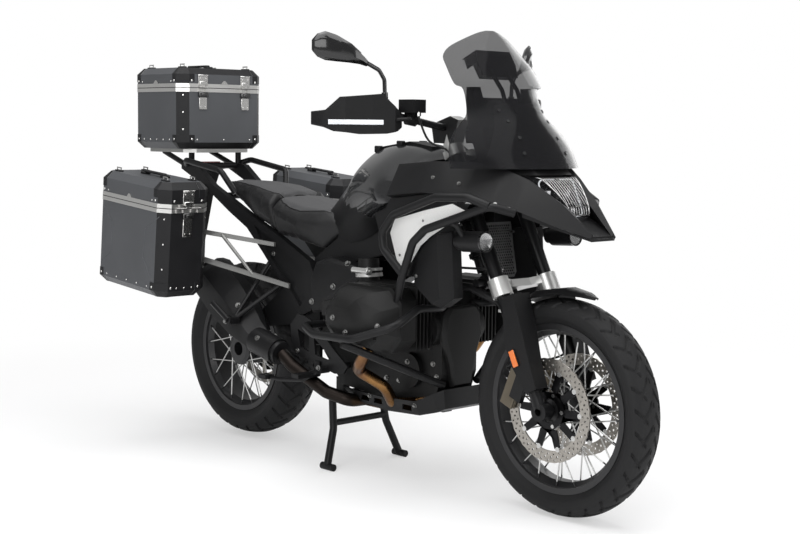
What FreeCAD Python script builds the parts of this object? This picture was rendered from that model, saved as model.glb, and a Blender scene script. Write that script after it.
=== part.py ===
"""Adventure motorcycle: flat twin, single-sided shaft drive, tubular crash bars and three hard cases.

Millimetres. +X is forward, +Y is the rider's left, +Z is up, and z = 0 is the floor. Every piece is drawn
with x = 0 behind the front axle by FRONT_X, then moved so that x = 0 is half of the overall length.
The machine stands on its centre stand: the front wheel is on the floor and the rear wheel hangs just clear.
"""
import FreeCAD
import Part
import math
import os

V = FreeCAD.Vector

# ---------------------------------------------------------------- driving dimensions
WHEELBASE = 1518.0          # axle to axle
FRONT_X = 759.0             # front axle in the drawing
REAR_LIFT = 9.0             # rear tyre above the floor on the centre stand
FRONT_TYRE_R = 326.5        # 120/70-19
FRONT_TYRE_W = 120.0
FRONT_RIM_R = 241.3
REAR_TYRE_R = 318.0         # 170/60-17
REAR_TYRE_W = 170.0
REAR_RIM_R = 215.9
SPOKE_R = 2.3
SPOKE_COUNT = 40
SPOKE_LEAN = 51.0           # turn of a spoke between rim and hub, degrees

HEAD_RAKE = 26.2            # steering axis, degrees back from vertical
TRAIL = 112.0
FORK_HALF = 107.0           # each fork tube from the centre plane
FORK_R = 21.0               # stanchion
SLIDER_R = 26.0             # lower leg
AXLE_R = 13.0               # front axle outside
AXLE_BORE_R = 11.0          # front axle hollow
RUNNING = 0.05              # radial clearance of a shaft in its bearing
STEM_R = 16.0               # steering stem
LEG_FACE = FORK_HALF - 23.0     # inner face of the axle lugs
LEG_OUT = FORK_HALF + 15.0      # outer face of the axle lugs
BALL_PIN_R = 8.0            # pin of the front arm in the fork bridge
SLIDER_TOP_S = 610.0        # heights along the steering axis: slider tops, fork bridge, head and yoke
BRIDGE_S = 727.0
HEAD_S0 = 1095.0
HEAD_S1 = 1158.0
YOKE_S = 1172.0
CALIPER_AIM = 158.0         # direction from the axle to a front caliper, degrees from straight ahead
CALIPER_TILT = 22.0
CALIPER_LUG_IN = 10.0       # inner face of its lug on the slider, from the middle of the disc

DISC_R = 155.0              # front discs
DISC_T = 5.0
DISC_Y = 73.0               # middle of each front disc from the centre plane
REAR_DISC_R = 138.0
HUB_BORE_R = 25.0           # hollow rear hub

SCREEN_T = 4.0
CASE_WALL = 2.0             # sheet of the luggage cases
CASE_CORNER = 36.0          # chamfer of a case's upright corners
LID_GAP = 0.5               # lid over body
HINGE_R = 4.0               # lid hinge barrel
HINGE_PIN_R = 2.0
BAND_T = 1.5                # bead, bands and corner caps stand proud of the sheet by this
BAND_H = 15.0               # aluminium band at the rim of body and lid
CAP_H = 52.0                # corner cap of a case
CAP_W = 58.0
CASE_FOLD = 24.0            # sloped fold round the bottom and the lid's top
TOP_LATCH_Y = 97.0          # latches of the top case from the centre plane

TOP_CASE_L = 329.0
TOP_CASE_HALF_W = 193.0
TOP_CASE_FRONT_X = -943.0
TOP_CASE_Z = 1060.0         # underside
TOP_CASE_BODY_H = 226.0
TOP_CASE_LID_H = 74.0

PANNIER_L = 419.0
PANNIER_W = 207.0
PANNIER_FRONT_X = -654.0
PANNIER_INNER_Y = 281.0
PANNIER_Z = 550.0           # underside at the front
PANNIER_BODY_H = 312.0
PANNIER_LID_H = 88.0
PANNIER_PITCH = 5.1         # degrees, rear end higher

BAR_R = 11.0                # handlebar tube at the grips
CRASH_R = 12.5              # crash bar tube
FRAME_HALF = 95.0           # side plates of the frame from the centre plane
FRAME_T = 14.0
BEAM_FACE = 120.0           # outer face of the subframe's beams
ENGINE_HALF = 78.0          # crankcase from the centre plane
PIVOT_X = -300.0            # swingarm pivot
PIVOT_Z = 425.0
SHOCK_TOP = (-268.0, 660.0)
SHOCK_LOW = (-400.0, 440.0)
SHOCK_PIN_R = 12.0
STRUT_TOP = (318.0, 930.0)  # front strut: top on the frame, foot on the arm
STRUT_LOW = (430.0, 672.0)
BRACKET_LEAD = 178.0        # fairing bracket ahead of the steering axis
BRACKET_HALF = 26.0         # narrow enough to stay between the turning fork tubes
HEADER_R = 19.0             # exhaust pipe at the heads
LINK_R = 22.0               # exhaust pipe to the silencer
CAN_START = (-342.0, -196.0, 372.0)     # front canister of the silencer
CAN_END = (-480.0, -198.0, 404.0)
CAN_R = 46.0
MUFFLER_FOOT = V(-505, 0, 425)          # where the muffler's axis starts
MUFFLER_RISE = 35.0         # slope of the muffler, degrees
OUTLET_R = 22.0             # twin tailpipes, outside and inside
OUTLET_BORE_R = 17.0
REST_X = -531.0             # passenger's rests
REST_Y = 262.0
REST_Z = 475.0
HOOP_R = 8.0                # pannier hoops
# x and z of the beam tops that carry the seats
SEAT_LINE = [(-850, 930), (-600, 822), (-450, 762), (-290, 700), (-150, 790), (60, 850)]
MUDGUARD_R = 358.0          # crest of the front mudguard from the axle
SIDE_Y = 250.0              # face of the tank side panels
BAR_X = 328.0               # middle of the handlebar
BAR_Z = 1150.0
BAR_HALF = 440.0
CENTRE_STAND_X = -175.0     # pivots of the two stands
CENTRE_STAND_Z = 245.0
CENTRE_STAND_Y = 110.0
SIDE_STAND_X = -20.0
SIDE_STAND_Z = 270.0
SIDE_STAND_Y = 165.0
STAND_PIN_R = 10.0
SIDE_STAND_LEAN = 17.5      # degrees by which its pivot axis tilts up and outwards
BAR_BEND_R = 60.0           # bend radius of the bar's middle line
BAR_BEND = [                # bends of the handlebar, right grip to left grip
    (BAR_X - 145, -BAR_HALF, BAR_Z + 18), (BAR_X - 65, -245, BAR_Z + 34), (BAR_X, -110, BAR_Z),
    (BAR_X, 110, BAR_Z), (BAR_X - 65, 245, BAR_Z + 34), (BAR_X - 145, BAR_HALF, BAR_Z + 18)]

REAR_X = FRONT_X - WHEELBASE
REAR_Z = REAR_TYRE_R + REAR_LIFT
GROUND_X = FRONT_X + TRAIL  # steering axis meets the floor
RAKE = math.radians(HEAD_RAKE)
UP = V(-math.sin(RAKE), 0, math.cos(RAKE))      # along the steering axis
AHEAD = V(math.cos(RAKE), 0, math.sin(RAKE))    # square to it, forward
AXLE = V(FRONT_X, 0, FRONT_TYRE_R)
AXLE_S = (AXLE - V(GROUND_X, 0, 0)).dot(UP)
FORK_LEAD = (AXLE - V(GROUND_X, 0, 0)).dot(AHEAD)
SIDE_STAND_AXIS = V(0, math.cos(math.radians(SIDE_STAND_LEAN)), math.sin(math.radians(SIDE_STAND_LEAN)))
# half of the overall length lies at x = 0 in the finished part
ORIGIN_SHIFT = -(FRONT_X + FRONT_TYRE_R + TOP_CASE_FRONT_X - TOP_CASE_L) / 2


# ---------------------------------------------------------------- tools
def steer(s, lead=0.0, y=0.0):
    """Point s along the steering axis from the floor, lead ahead of it, y to the left."""
    return V(GROUND_X, y, 0) + UP * s + AHEAD * lead


def along(p):
    """Distance of a point along the steering axis from the floor."""
    return (p - V(GROUND_X, 0, 0)).dot(UP)


def box(x0, x1, y0, y1, z0, z1):
    return Part.makeBox(x1 - x0, y1 - y0, z1 - z0, V(x0, y0, z0))


def rod(a, b, r):
    return Part.makeCylinder(r, (b - a).Length, a, b - a)


def cross_bar(x, z, y0, y1, r):
    """Round bar across the machine at x, z."""
    return rod(V(x, y0, z), V(x, y1, z), r)


def ring(a, b, r_out, r_in):
    return rod(a, b, r_out).cut(rod(a, b, r_in))


def fuse(*shapes):
    return shapes[0].fuse(list(shapes[1:])).removeSplitter()


def mirrored(shape):
    return shape.mirror(V(0, 0, 0), V(0, 1, 0))


def pair(shape):
    """The shape and its mirror image across the centre plane."""
    return Part.makeCompound([shape, mirrored(shape)])


def rounded_path(points, bend):
    """Wire of straight runs joined by tangent arcs of radius bend at every corner."""
    edges = []
    start = points[0]
    for here, after in zip(points[1:-1], points[2:]):
        into = (here - start).normalize()
        out = (after - here).normalize()
        turn = into.getAngle(out)
        if turn < 0.02:
            continue
        cut = min(bend * math.tan(turn / 2), 0.45 * (here - start).Length, 0.45 * (after - here).Length)
        a = here - into * cut
        b = here + out * cut
        sag = cut / math.tan(turn / 2) * (1 / math.cos(turn / 2) - 1)
        middle = here + (out - into).normalize() * sag
        edges.append(Part.LineSegment(start, a).toShape())
        edges.append(Part.Arc(a, middle, b).toShape())
        start = b
    edges.append(Part.LineSegment(start, points[-1]).toShape())
    return Part.Wire(edges)


def tube(points, r, bend=40.0):
    """Solid round bar bent along the points."""
    points = [V(*p) for p in points]
    if len(points) == 2:
        return rod(points[0], points[1], r)
    path = rounded_path(points, bend)
    ends = Part.Wire(Part.makeCircle(r, points[0], points[1] - points[0]))
    return path.makePipeShell([ends], True, True)


def polygon(points):
    return Part.Wire(Part.makePolygon([V(*p) for p in points] + [V(*points[0])]))


def side_plate(outline, y0, y1):
    """Side view outline of (x, z) points, extruded from y0 to y1."""
    face = Part.Face(polygon([(x, y0, z) for x, z in outline]))
    return face.extrude(V(0, y1 - y0, 0))


def turned(profile, x, z):
    """Closed (radius, y) profile revolved about the wheel axis at x, z."""
    face = Part.Face(polygon([(r, y, 0) for r, y in profile]))
    body = face.revolve(V(0, 0, 0), V(0, 1, 0), 360)
    body.translate(V(x, 0, z))
    return body


def loft(sections):
    """Ruled solid through closed sections, each a list of (x, y, z) corners."""
    return Part.makeLoft([polygon(s) for s in sections], True, True)


def spine_loft(sections):
    """Symmetric body: each section is x with its right-hand half outline of (y, z), top to bottom."""
    closed = []
    for x, half in sections:
        right = [(x, y, z) for y, z in half]
        left = [(x, -y, z) for y, z in reversed(half) if y > 0.01]
        closed.append(right + left)
    return loft(closed)


PIECES = {}


def keep(node, *shapes):
    """Hold the solids of one named piece until the fitting pass."""
    PIECES[node] = [solid for shape in shapes for solid in shape.Solids]
    for solid in PIECES[node]:
        if solid.Volume < 0:
            solid.reverse()


# each piece is relieved where it meets the neighbour it is fitted to
FITTED = [
    ("fuel_tank", "main_frame"), ("nose_fairing", "fuel_tank"), ("cylinders", "engine_block"),
    ("upper_crash_bars", "engine_block"), ("exhaust_headers", "engine_block"), ("footrests", "engine_block"),
    ("instrument_panel", "main_frame"), ("luggage_rack", "top_case"), ("upper_crash_bars", "cylinders"),
    ("upper_crash_bars", "nose_fairing"), ("radiator_shrouds", "fuel_tank"),
    ("radiator_shrouds", "nose_fairing"),
    ("radiator_shrouds", "upper_crash_bars"), ("auxiliary_lamps", "upper_crash_bars"),
    ("exhaust_headers", "cylinders"), ("lower_crash_bars", "engine_block"), ("skid_plate", "engine_block"),
    ("skid_plate", "exhaust_headers"), ("footrests", "rear_subframe"), ("instrument_panel", "nose_fairing"),
    ("luggage_rack", "rear_subframe"), ("pannier_carriers", "rear_subframe"),
    ("passenger_seat", "rear_subframe"),
    ("mirrors", "hand_controls"), ("mirrors", "handlebar"), ("front_suspension_arm", "engine_block"),
    ("hand_guards", "hand_controls"), ("hand_guards", "handlebar"), ("windscreen", "nose_fairing"),
    ("instrument_panel", "windscreen"), ("rider_seat", "fuel_tank"), ("rider_seat", "main_frame"),
    ("tank_side_panels", "upper_crash_bars"),
]


def fit_and_write():
    """Relieve the fitted pieces, then write every piece in the finished frame."""
    for node, neighbour in FITTED:
        fitted = []
        for solid in PIECES[node]:
            for other in PIECES[neighbour]:
                if solid.BoundBox.intersect(other.BoundBox):
                    solid = max(solid.cut(other).Solids, key=lambda piece: piece.Volume)
            fitted.append(solid)
        PIECES[node] = fitted
    for node, solids in PIECES.items():
        part = Part.makeCompound(solids)
        part.translate(V(ORIGIN_SHIFT, 0, 0))
        part.exportStep(os.path.join("parts", node + ".step"))


# ---------------------------------------------------------------- wheels
def tyre(radius, width, rim_r, x, z, bead):
    """Round-shouldered carcass, open towards the rim. Columns: radius, half width."""
    half = width / 2
    height = radius - rim_r
    outside = [
        (rim_r, bead), (rim_r + 0.17 * height, bead), (rim_r + 0.50 * height, half),
        (rim_r + 0.70 * height, 0.95 * half), (rim_r + 0.88 * height, 0.68 * half),
        (rim_r + 0.97 * height, 0.34 * half), (radius, 0.0),
    ]
    inside = [
        (radius - 10, 0.0), (rim_r + 0.70 * height, 0.80 * half), (rim_r + 0.48 * height, 0.86 * half),
        (rim_r + 0.20 * height, bead - 12), (rim_r, bead - 12),
    ]
    outer_loop = outside + [(r, -y) for r, y in reversed(outside[:-1])]
    inner_loop = [(r, -y) for r, y in reversed(inside)] + inside[1:]
    return turned(outer_loop + inner_loop, x, z)


def rim(rim_r, bead, x, z):
    """Drop-centre rim. Columns: radius, half width."""
    outside = [
        (rim_r + 12, bead + 5), (rim_r + 12, bead), (rim_r, bead), (rim_r - 2, bead - 20),
        (rim_r - 17, bead - 26)]
    inside = [(rim_r - 22, bead - 23), (rim_r - 8, bead - 4), (rim_r - 6, bead + 5)]
    near = outside + [(r, -y) for r, y in reversed(outside)]
    far = [(r, -y) for r, y in inside[::-1]]
    return turned(near + far + inside, x, z)


def spokes(rim_r, hub_r, rim_y, hub_flanges, x, z):
    """Crossed wire spokes, laced in pairs from the left and right hub flange to the two rim edges."""
    bars = []
    for i in range(SPOKE_COUNT):
        side = 1 if i % 2 else -1
        lean = 1 if (i // 2) % 2 else -1
        at_rim = 2 * math.pi * i / SPOKE_COUNT
        at_hub = at_rim + lean * math.radians(SPOKE_LEAN)
        hub_y = hub_flanges[0] if side > 0 else hub_flanges[1]
        a = V(x + hub_r * math.cos(at_hub), hub_y, z + hub_r * math.sin(at_hub))
        b = V(x + rim_r * math.cos(at_rim), side * rim_y, z + rim_r * math.sin(at_rim))
        bars.append(rod(a, b, SPOKE_R))
    return bars


def front_wheel():
    x, z = FRONT_X, FRONT_TYRE_R
    bead = 40.0
    keep("front_tyre", tyre(FRONT_TYRE_R, FRONT_TYRE_W, FRONT_RIM_R, x, z, bead))
    hub_profile = [
        (AXLE_R + RUNNING, -62), (34, -62), (34, -50), (52, -46), (52, -38), (30, -30),
        (30, 30), (52, 38), (52, 46), (34, 50), (34, 62), (AXLE_R + RUNNING, 62),
    ]
    hub = turned(hub_profile, x, z)
    wires = spokes(FRONT_RIM_R - 9, 47, 33, (42, -42), x, z)
    keep("front_wheel_rim", fuse(rim(FRONT_RIM_R, bead, x, z), hub, *wires))
    discs = []
    for side in (1, -1):
        mid = side * DISC_Y
        face = DISC_T / 2
        blade = ring(V(x, mid - face, z), V(x, mid + face, z), DISC_R, DISC_R - 38)
        carrier = ring(V(x, mid - face, z), V(x, mid + face, z), 52, 24)
        arms = [carrier, blade]
        for i in range(10):
            turn = 2 * math.pi * i / 10
            lug = box(46, DISC_R - 32, -6, 6, -face, face)
            lug.rotate(V(0, 0, 0), V(1, 0, 0), 90)
            lug.rotate(V(0, 0, 0), V(0, 1, 0), math.degrees(turn))
            lug.translate(V(x, mid, z))
            arms.append(lug)
        inner = side * 62
        spacer = ring(V(x, inner, z), V(x, mid - side * face, z), 34, 24)
        discs.append(fuse(*arms, spacer))
    keep("front_brake_discs", *discs)


def rear_wheel():
    x, z = REAR_X, REAR_Z
    bead = 62.0
    keep("rear_tyre", tyre(REAR_TYRE_R, REAR_TYRE_W, REAR_RIM_R, x, z, bead))
    hub_profile = [
        (HUB_BORE_R, -70), (46, -70), (60, -64), (60, -52), (40, -44), (40, 0), (60, 8), (60, 18),
        (40, 22), (40, 48), (33.5, 48), (33.5, 128), (HUB_BORE_R, 128),
    ]
    hub = turned(hub_profile, x, z)
    wires = spokes(REAR_RIM_R - 9, 54, 54, (13, -58), x, z)
    keep("rear_wheel_rim", fuse(rim(REAR_RIM_R, bead, x, z), hub, *wires))
    disc = ring(V(x, 48, z), V(x, 54, z), REAR_DISC_R, REAR_DISC_R - 36)
    carrier = ring(V(x, 48, z), V(x, 54, z), 60, 34)
    arms = [disc, carrier]
    for i in range(8):
        lug = box(56, REAR_DISC_R - 30, -7, 7, -3, 3)
        lug.rotate(V(0, 0, 0), V(1, 0, 0), 90)
        lug.rotate(V(0, 0, 0), V(0, 1, 0), 45 * i)
        lug.translate(V(x, 51, z))
        arms.append(lug)
    keep("rear_brake_disc", fuse(*arms))


# ---------------------------------------------------------------- steering
def caliper_spot(side):
    """Middle of a front caliper: on its disc, behind and above the axle."""
    aim = math.radians(CALIPER_AIM)
    return V(FRONT_X, side * DISC_Y, FRONT_TYRE_R) + V(math.cos(aim), 0, math.sin(aim)) * (DISC_R - 14)


def fork_rod(s0, s1, side, r):
    """Round bar along one fork tube between two heights on the steering axis."""
    y = side * FORK_HALF
    return rod(steer(s0, FORK_LEAD, y), steer(s1, FORK_LEAD, y), r)


def slanted_plate(plan, s, thick):
    """Plate square to the steering axis; plan is y and lead of its outline."""
    bottom = [steer(s, lead, y) for y, lead in plan]
    return Part.Face(Part.Wire(Part.makePolygon(bottom + [bottom[0]]))).extrude(UP * thick)


def caliper_carry(side):
    """Lug of the slider that a caliper bolts to."""
    near, far = CALIPER_LUG_IN, FORK_HALF - 6 - DISC_Y
    carry = box(-22, 22, *sorted((side * near, side * far)), -48, 48)
    carry.rotate(V(0, 0, 0), V(0, 1, 0), CALIPER_TILT)
    carry.translate(caliper_spot(side) + V(34, 0, 10))
    return carry


def fork():
    legs = []
    for side in (1, -1):
        slider = fork_rod(AXLE_S + 4, SLIDER_TOP_S, side, SLIDER_R - 6)
        boot = fork_rod(AXLE_S + 60, SLIDER_TOP_S, side, SLIDER_R)
        lug = cross_bar(AXLE.x, AXLE.z, side * LEG_FACE, side * LEG_OUT, 28)
        stanchion = fork_rod(SLIDER_TOP_S - 5, YOKE_S + 14, side, FORK_R)
        legs += [slider, boot, lug, stanchion, caliper_carry(side)]
    axle = cross_bar(AXLE.x, AXLE.z, -LEG_OUT - 1, LEG_OUT + 1, AXLE_R)
    bore = cross_bar(AXLE.x, AXLE.z, -LEG_OUT - 20, LEG_OUT + 20, AXLE_BORE_R)
    keep("fork_legs", fuse(*legs, axle).cut(bore))

    parts = []
    for side in (1, -1):
        parts.append(fork_rod(BRIDGE_S - 24, BRIDGE_S + 32, side, FORK_R + 11))
    plan = [
        (-FORK_HALF, 24), (-50, 4), (-16, -15), (16, -15), (50, 4), (FORK_HALF, 24), (FORK_HALF, 62),
        (40, 36),
        (-40, 36), (-FORK_HALF, 62)]
    bridge = fuse(*parts, slanted_plate(plan, BRIDGE_S + 6, 24))
    for side in (1, -1):
        bridge = bridge.cut(fork_rod(BRIDGE_S - 60, BRIDGE_S + 60, side, FORK_R))
    bridge = bridge.cut(rod(steer(BRIDGE_S - 60), steer(BRIDGE_S + 60), BALL_PIN_R + RUNNING))
    keep("fork_bridge", bridge)


def bar_tube():
    return tube(BAR_BEND, BAR_R, BAR_BEND_R)


def handlebar():
    """Upper yoke, its two cast risers and the bar. The stem turns in the steering head."""
    parts = []
    for side in (1, -1):
        y = side * FORK_HALF
        parts.append(fork_rod(YOKE_S - 10, YOKE_S + 24, side, FORK_R + 9))
        lug = box(-9, 9, -14, 14, 0, 26)
        lug.rotate(V(0, 0, 0), V(0, 1, 0), -HEAD_RAKE)
        lug.translate(steer(YOKE_S - 6, FORK_LEAD - 30, y))
        parts.append(lug)
    plan = [
        (-FORK_HALF - 6, 20), (-36, -26), (36, -26), (FORK_HALF + 6, 20), (FORK_HALF, 66), (60, 40),
        (30, 34), (-30, 34),
        (-60, 40), (-FORK_HALF, 66)]
    parts.append(slanted_plate(plan, YOKE_S - 4, 20))
    parts.append(rod(steer(HEAD_S0 - 6), steer(YOKE_S), STEM_R))
    parts.append(rod(steer(YOKE_S + 12), steer(YOKE_S + 26), 20))
    middle = V(BAR_X, 0, BAR_Z)
    top = along(middle)
    ahead = (middle - steer(top)).dot(AHEAD)
    # columns: height along the steering axis, lead of the rear and front face, inner and outer y
    casting = [
        (YOKE_S + 12, -6, 46, 44, 100), (YOKE_S + 44, 0.4 * ahead - 18, 0.4 * ahead + 24, 52, 94),
        (top - 24, ahead - 22, ahead + 22, 54, 90)]
    clamp = [(-58, 8), (24, 34), (60, 22), (40, -50), (-46, -50)]
    risers = []
    for side in (1, -1):
        sections = []
        for height, rear, front, inner, outer in casting:
            corners = [
                (rear, inner), (rear, outer), (0.5 * (rear + front), outer + 4), (front, outer - 8),
                (front, inner + 6)]
            points = [steer(height, lead, side * y) for lead, y in corners]
            sections.append([(p.x, p.y, p.z) for p in points])
        risers.append(loft(sections))
        y0, y1 = sorted((side * 50, side * 94))
        risers.append(side_plate([(BAR_X + x, BAR_Z + z) for x, z in clamp], y0, y1))
    bar = bar_tube()
    body = fuse(*parts, *risers, bar)
    for y in (-FORK_HALF, FORK_HALF):
        body = body.cut(rod(steer(YOKE_S - 60, FORK_LEAD, y), steer(YOKE_S + 30, FORK_LEAD, y), FORK_R))
    keep("handlebar", body)


def hand_controls():
    """Grips, switch housings, levers and hydraulic reservoirs, clamped round the bar."""
    for_bar = bar_tube()
    sides = []
    for side in (1, -1):
        inner = V(BAR_X - 65, side * 245, BAR_Z + 34)
        outer = V(BAR_X - 145, side * BAR_HALF, BAR_Z + 18)
        run = (outer - inner).normalize()
        grip = rod(inner + run * 66, outer - run * 4, 17)
        switch = rod(inner + run * 14, inner + run * 64, 25)
        tank = box(BAR_X - 60, BAR_X + 4, -27, 27, BAR_Z + 42, BAR_Z + 82)
        tank.translate(V(0, side * 205, 0))
        clamp = rod(V(BAR_X - 30, side * 186, BAR_Z + 22), V(BAR_X - 42, side * 216, BAR_Z + 28), 22)
        foot = box(BAR_X - 50, BAR_X - 10, -14, 14, BAR_Z + 30, BAR_Z + 44)
        foot.translate(V(0, side * 203, 0))
        lever = tube([
            (BAR_X - 36, side * 210, BAR_Z + 26), (BAR_X + 18, side * 258, BAR_Z + 22),
            (BAR_X - 66, side * 420, BAR_Z + 12)], 6, 18)
        sides.append(fuse(grip, switch, tank, clamp, foot, lever).cut(for_bar))
    keep("hand_controls", *sides)


def hand_guards():
    """Moulded shells in front of the grips, held at the bar end and beside the switch housing."""
    # columns: x, y of the outer skin seen from above
    plan = [(322, 268), (334, 306), (308, 372), (256, 436), (196, 470), (150, 480)]
    skin = 5.0
    inside = [(x - skin, y - skin) for x, y in plan]
    strip = prism(plan + inside[::-1], 1100, 1260)
    # columns: y, z of the outline seen from the front
    front = [
        (262, 1150), (290, 1136), (330, 1128), (400, 1126), (450, 1134), (484, 1160), (486, 1188),
        (462, 1198),
        (440, 1236), (345, 1246), (304, 1208), (262, 1186)]
    outline = Part.Face(polygon([(100, y, z) for y, z in front])).extrude(V(300, 0, 0))
    shell = strip.common(outline)
    arm = rod(V(290, 276, 1160), V(322, 282, 1160), 7)
    end = rod(V(BAR_X - 145, BAR_HALF + 1, BAR_Z + 18), V(176, 472, 1168), 9)
    keep("hand_guards", *pair(fuse(shell, end, arm)).Solids)


def mirrors():
    """Teardrop heads on stems that rise from the bar clamps."""
    # columns: y, x, z of the middle, half depth, half height
    table = [
        (342, 244, 1338, 7, 10), (362, 238, 1352, 12, 18), (390, 222, 1368, 18, 30),
        (424, 202, 1381, 21, 40),
        (452, 186, 1387, 19, 43), (472, 172, 1388, 14, 34), (484, 163, 1388, 8, 18)]
    sections = []
    for y, x, z, deep, tall in table:
        sections.append([
            (x + deep, y, z - 0.45 * tall), (x + deep, y, z + 0.45 * tall),
            (x + 0.5 * deep, y, z + 0.85 * tall),
            (x - 0.3 * deep, y, z + tall), (x - 0.8 * deep, y, z + 0.8 * tall),
            (x - 0.8 * deep, y, z - 0.75 * tall),
            (x - 0.3 * deep, y, z - tall), (x + 0.5 * deep, y, z - 0.85 * tall)])
    head = loft(sections)
    stem = tube([(260, 281, 1230), (260, 284, 1290), (256, 302, 1318), (241, 352, 1344)], 6.5, 24)
    boss = fuse(rod(V(250, 280, 1192), V(260, 281, 1232), 14), rod(V(260, 281, 1230), V(260, 282, 1252), 10))
    keep("mirrors", *pair(fuse(head, stem, boss)).Solids)


def front_mudguard():
    """Short guard over the front tyre with shrouds down the fronts of both sliders."""
    x, z = FRONT_X, FRONT_TYRE_R
    t = 4.0
    # columns: angle from straight ahead (degrees), crest below MUDGUARD_R, half width, drop of the edge
    table = [(72, 4, 10, 4), (78, 2, 34, 8), (90, 0, 56, 14), (104, 3, 70, 18), (120, 10, 70, 14)]
    sections = []
    for angle, below, half, drop in table:
        r = MUDGUARD_R - below
        out = V(math.cos(math.radians(angle)), 0, math.sin(math.radians(angle)))
        section = []
        outline = [
            (r, 0), (r - 1, 0.6 * half), (r - drop, half), (r - drop - t, half - t),
            (r - t - 1, 0.6 * half - 2),
            (r - t, 0)]
        for radius, y in outline:
            section.append((x + out.x * radius, y, z + out.z * radius))
        section += [(px, -y, pz) for px, y, pz in reversed(section[1:-1])]
        sections.append(section)
    parts = [loft(sections)]
    # columns: height along the fork, lead of the front face, lead of the rear edge, inner y
    outer = FORK_HALF + SLIDER_R + 5
    rows = [
        (AXLE_S + 62, FORK_LEAD + 34, FORK_LEAD - 10, 87),
        (AXLE_S + 150, FORK_LEAD + 42, FORK_LEAD - 28, 81),
        (SLIDER_TOP_S - 40, FORK_LEAD + 52, FORK_LEAD - 28, 72),
        (SLIDER_TOP_S + 80, FORK_LEAD + 62, FORK_LEAD + 20, 60)]
    for side in (1, -1):
        shroud = []
        for s, front, rear, inner in rows:
            corners = [
                (front, inner), (front, outer), (rear, outer), (rear, outer - t), (front - t, outer - t),
                (front - t, inner)]
            points = [steer(s, lead, side * y) for lead, y in corners]
            shroud.append([(p.x, p.y, p.z) for p in points])
        parts.append(loft(shroud))
        y = side * (FORK_HALF + SLIDER_R)
        y0, y1 = sorted((y - side * 1.5, side * (outer - 1)))
        tab = box(-14, 14, y0, y1, -14, 14)
        tab.translate(steer(SLIDER_TOP_S - 60, FORK_LEAD, 0))
        parts.append(tab)
    guard = fuse(*parts)
    for side in (1, -1):
        guard = guard.cut(fork_rod(AXLE_S, SLIDER_TOP_S + 60, side, SLIDER_R))
    keep("front_mudguard", guard)


def front_calipers():
    """Radial four-piston calipers behind the sliders, straddling the discs."""
    both = []
    for side in (1, -1):
        block = box(-24, 24, -25, 25, -62, 62)
        block = block.cut(box(-40, 40, -DISC_T / 2 - 2, DISC_T / 2 + 2, -80, 80))
        bridge = box(-24, -16, -25, 25, -62, 62)
        caliper = fuse(block, bridge)
        caliper.rotate(V(0, 0, 0), V(0, 1, 0), CALIPER_TILT)
        caliper.translate(caliper_spot(side))
        leg = fork_rod(AXLE_S + 4, SLIDER_TOP_S, side, SLIDER_R)
        both.append(caliper.cut(fuse(caliper_carry(side), leg)))
    keep("front_calipers", *both)


# ---------------------------------------------------------------- frame, engine and drive
def main_frame():
    """Side plates from the steering head to the swingarm pivot, with fairing bracket and cross tubes."""
    outline = [
        (285, 1030), (330, 975), (350, 900), (250, 790), (60, 735), (-150, 690), (-262, 560), (-262, 350),
        (-340, 350),
        (-350, 480), (-290, 700), (-150, 790), (60, 850), (200, 930)]
    window = [(240, 910), (300, 930), (260, 850), (100, 800), (60, 800), (160, 870)]
    plates = []
    for side in (1, -1):
        y0, y1 = sorted((side * FRAME_HALF, side * (FRAME_HALF - FRAME_T)))
        plates.append(side_plate(outline, y0, y1).cut(side_plate(window, y0 - 1, y1 + 1)))
        plates.append(frame_cover(side))
    inner = FRAME_HALF - 1
    head = rod(steer(HEAD_S0), steer(HEAD_S1), 33)
    gusset = box(288, 326, -inner, inner, 960, 1000)
    keel = side_plate([(300, 960), (400, 960), (370, 1010), (300, 1000)], -30, 30)
    flat = [
        steer(HEAD_S0 + 2, 20), steer(HEAD_S0 + 2, BRACKET_LEAD), steer(HEAD_S1 - 4, BRACKET_LEAD),
        steer(HEAD_S1 - 4, 20)]
    bracket = side_plate([(p.x, p.z) for p in flat], -BRACKET_HALF, BRACKET_HALF)
    back = cross_bar(SHOCK_TOP[0], SHOCK_TOP[1], -inner, inner, SHOCK_PIN_R)
    top = cross_bar(40, 800, -inner, inner, 16)
    strut_top = cross_bar(STRUT_TOP[0], STRUT_TOP[1], -inner, inner, SHOCK_PIN_R)
    frame = fuse(*plates, head, gusset, keel, bracket, back, top, strut_top)
    keep("main_frame", frame.cut(rod(steer(HEAD_S0 - 20), steer(HEAD_S1 + 20), STEM_R + RUNNING)))


def frame_cover(side):
    """Moulded cover over the frame behind a cylinder: a flat face inside a sloped border."""
    edge = [
        (-248, 640), (-222, 694), (-149, 716), (-58, 700), (0, 690), (0, 655), (-165, 560), (-180, 528),
        (-240, 520)]
    face = [
        (-236, 640), (-212, 684), (-146, 704), (-60, 688), (-10, 680), (-12, 664), (-172, 572),
        (-190, 536), (-230, 532)]
    sections = []
    for outline, y in ((edge, FRAME_HALF - 1), (edge, FRAME_HALF + 50), (face, FRAME_HALF + 62)):
        sections.append([(x, side * y, z) for x, z in outline])
    return loft(sections)


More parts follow.
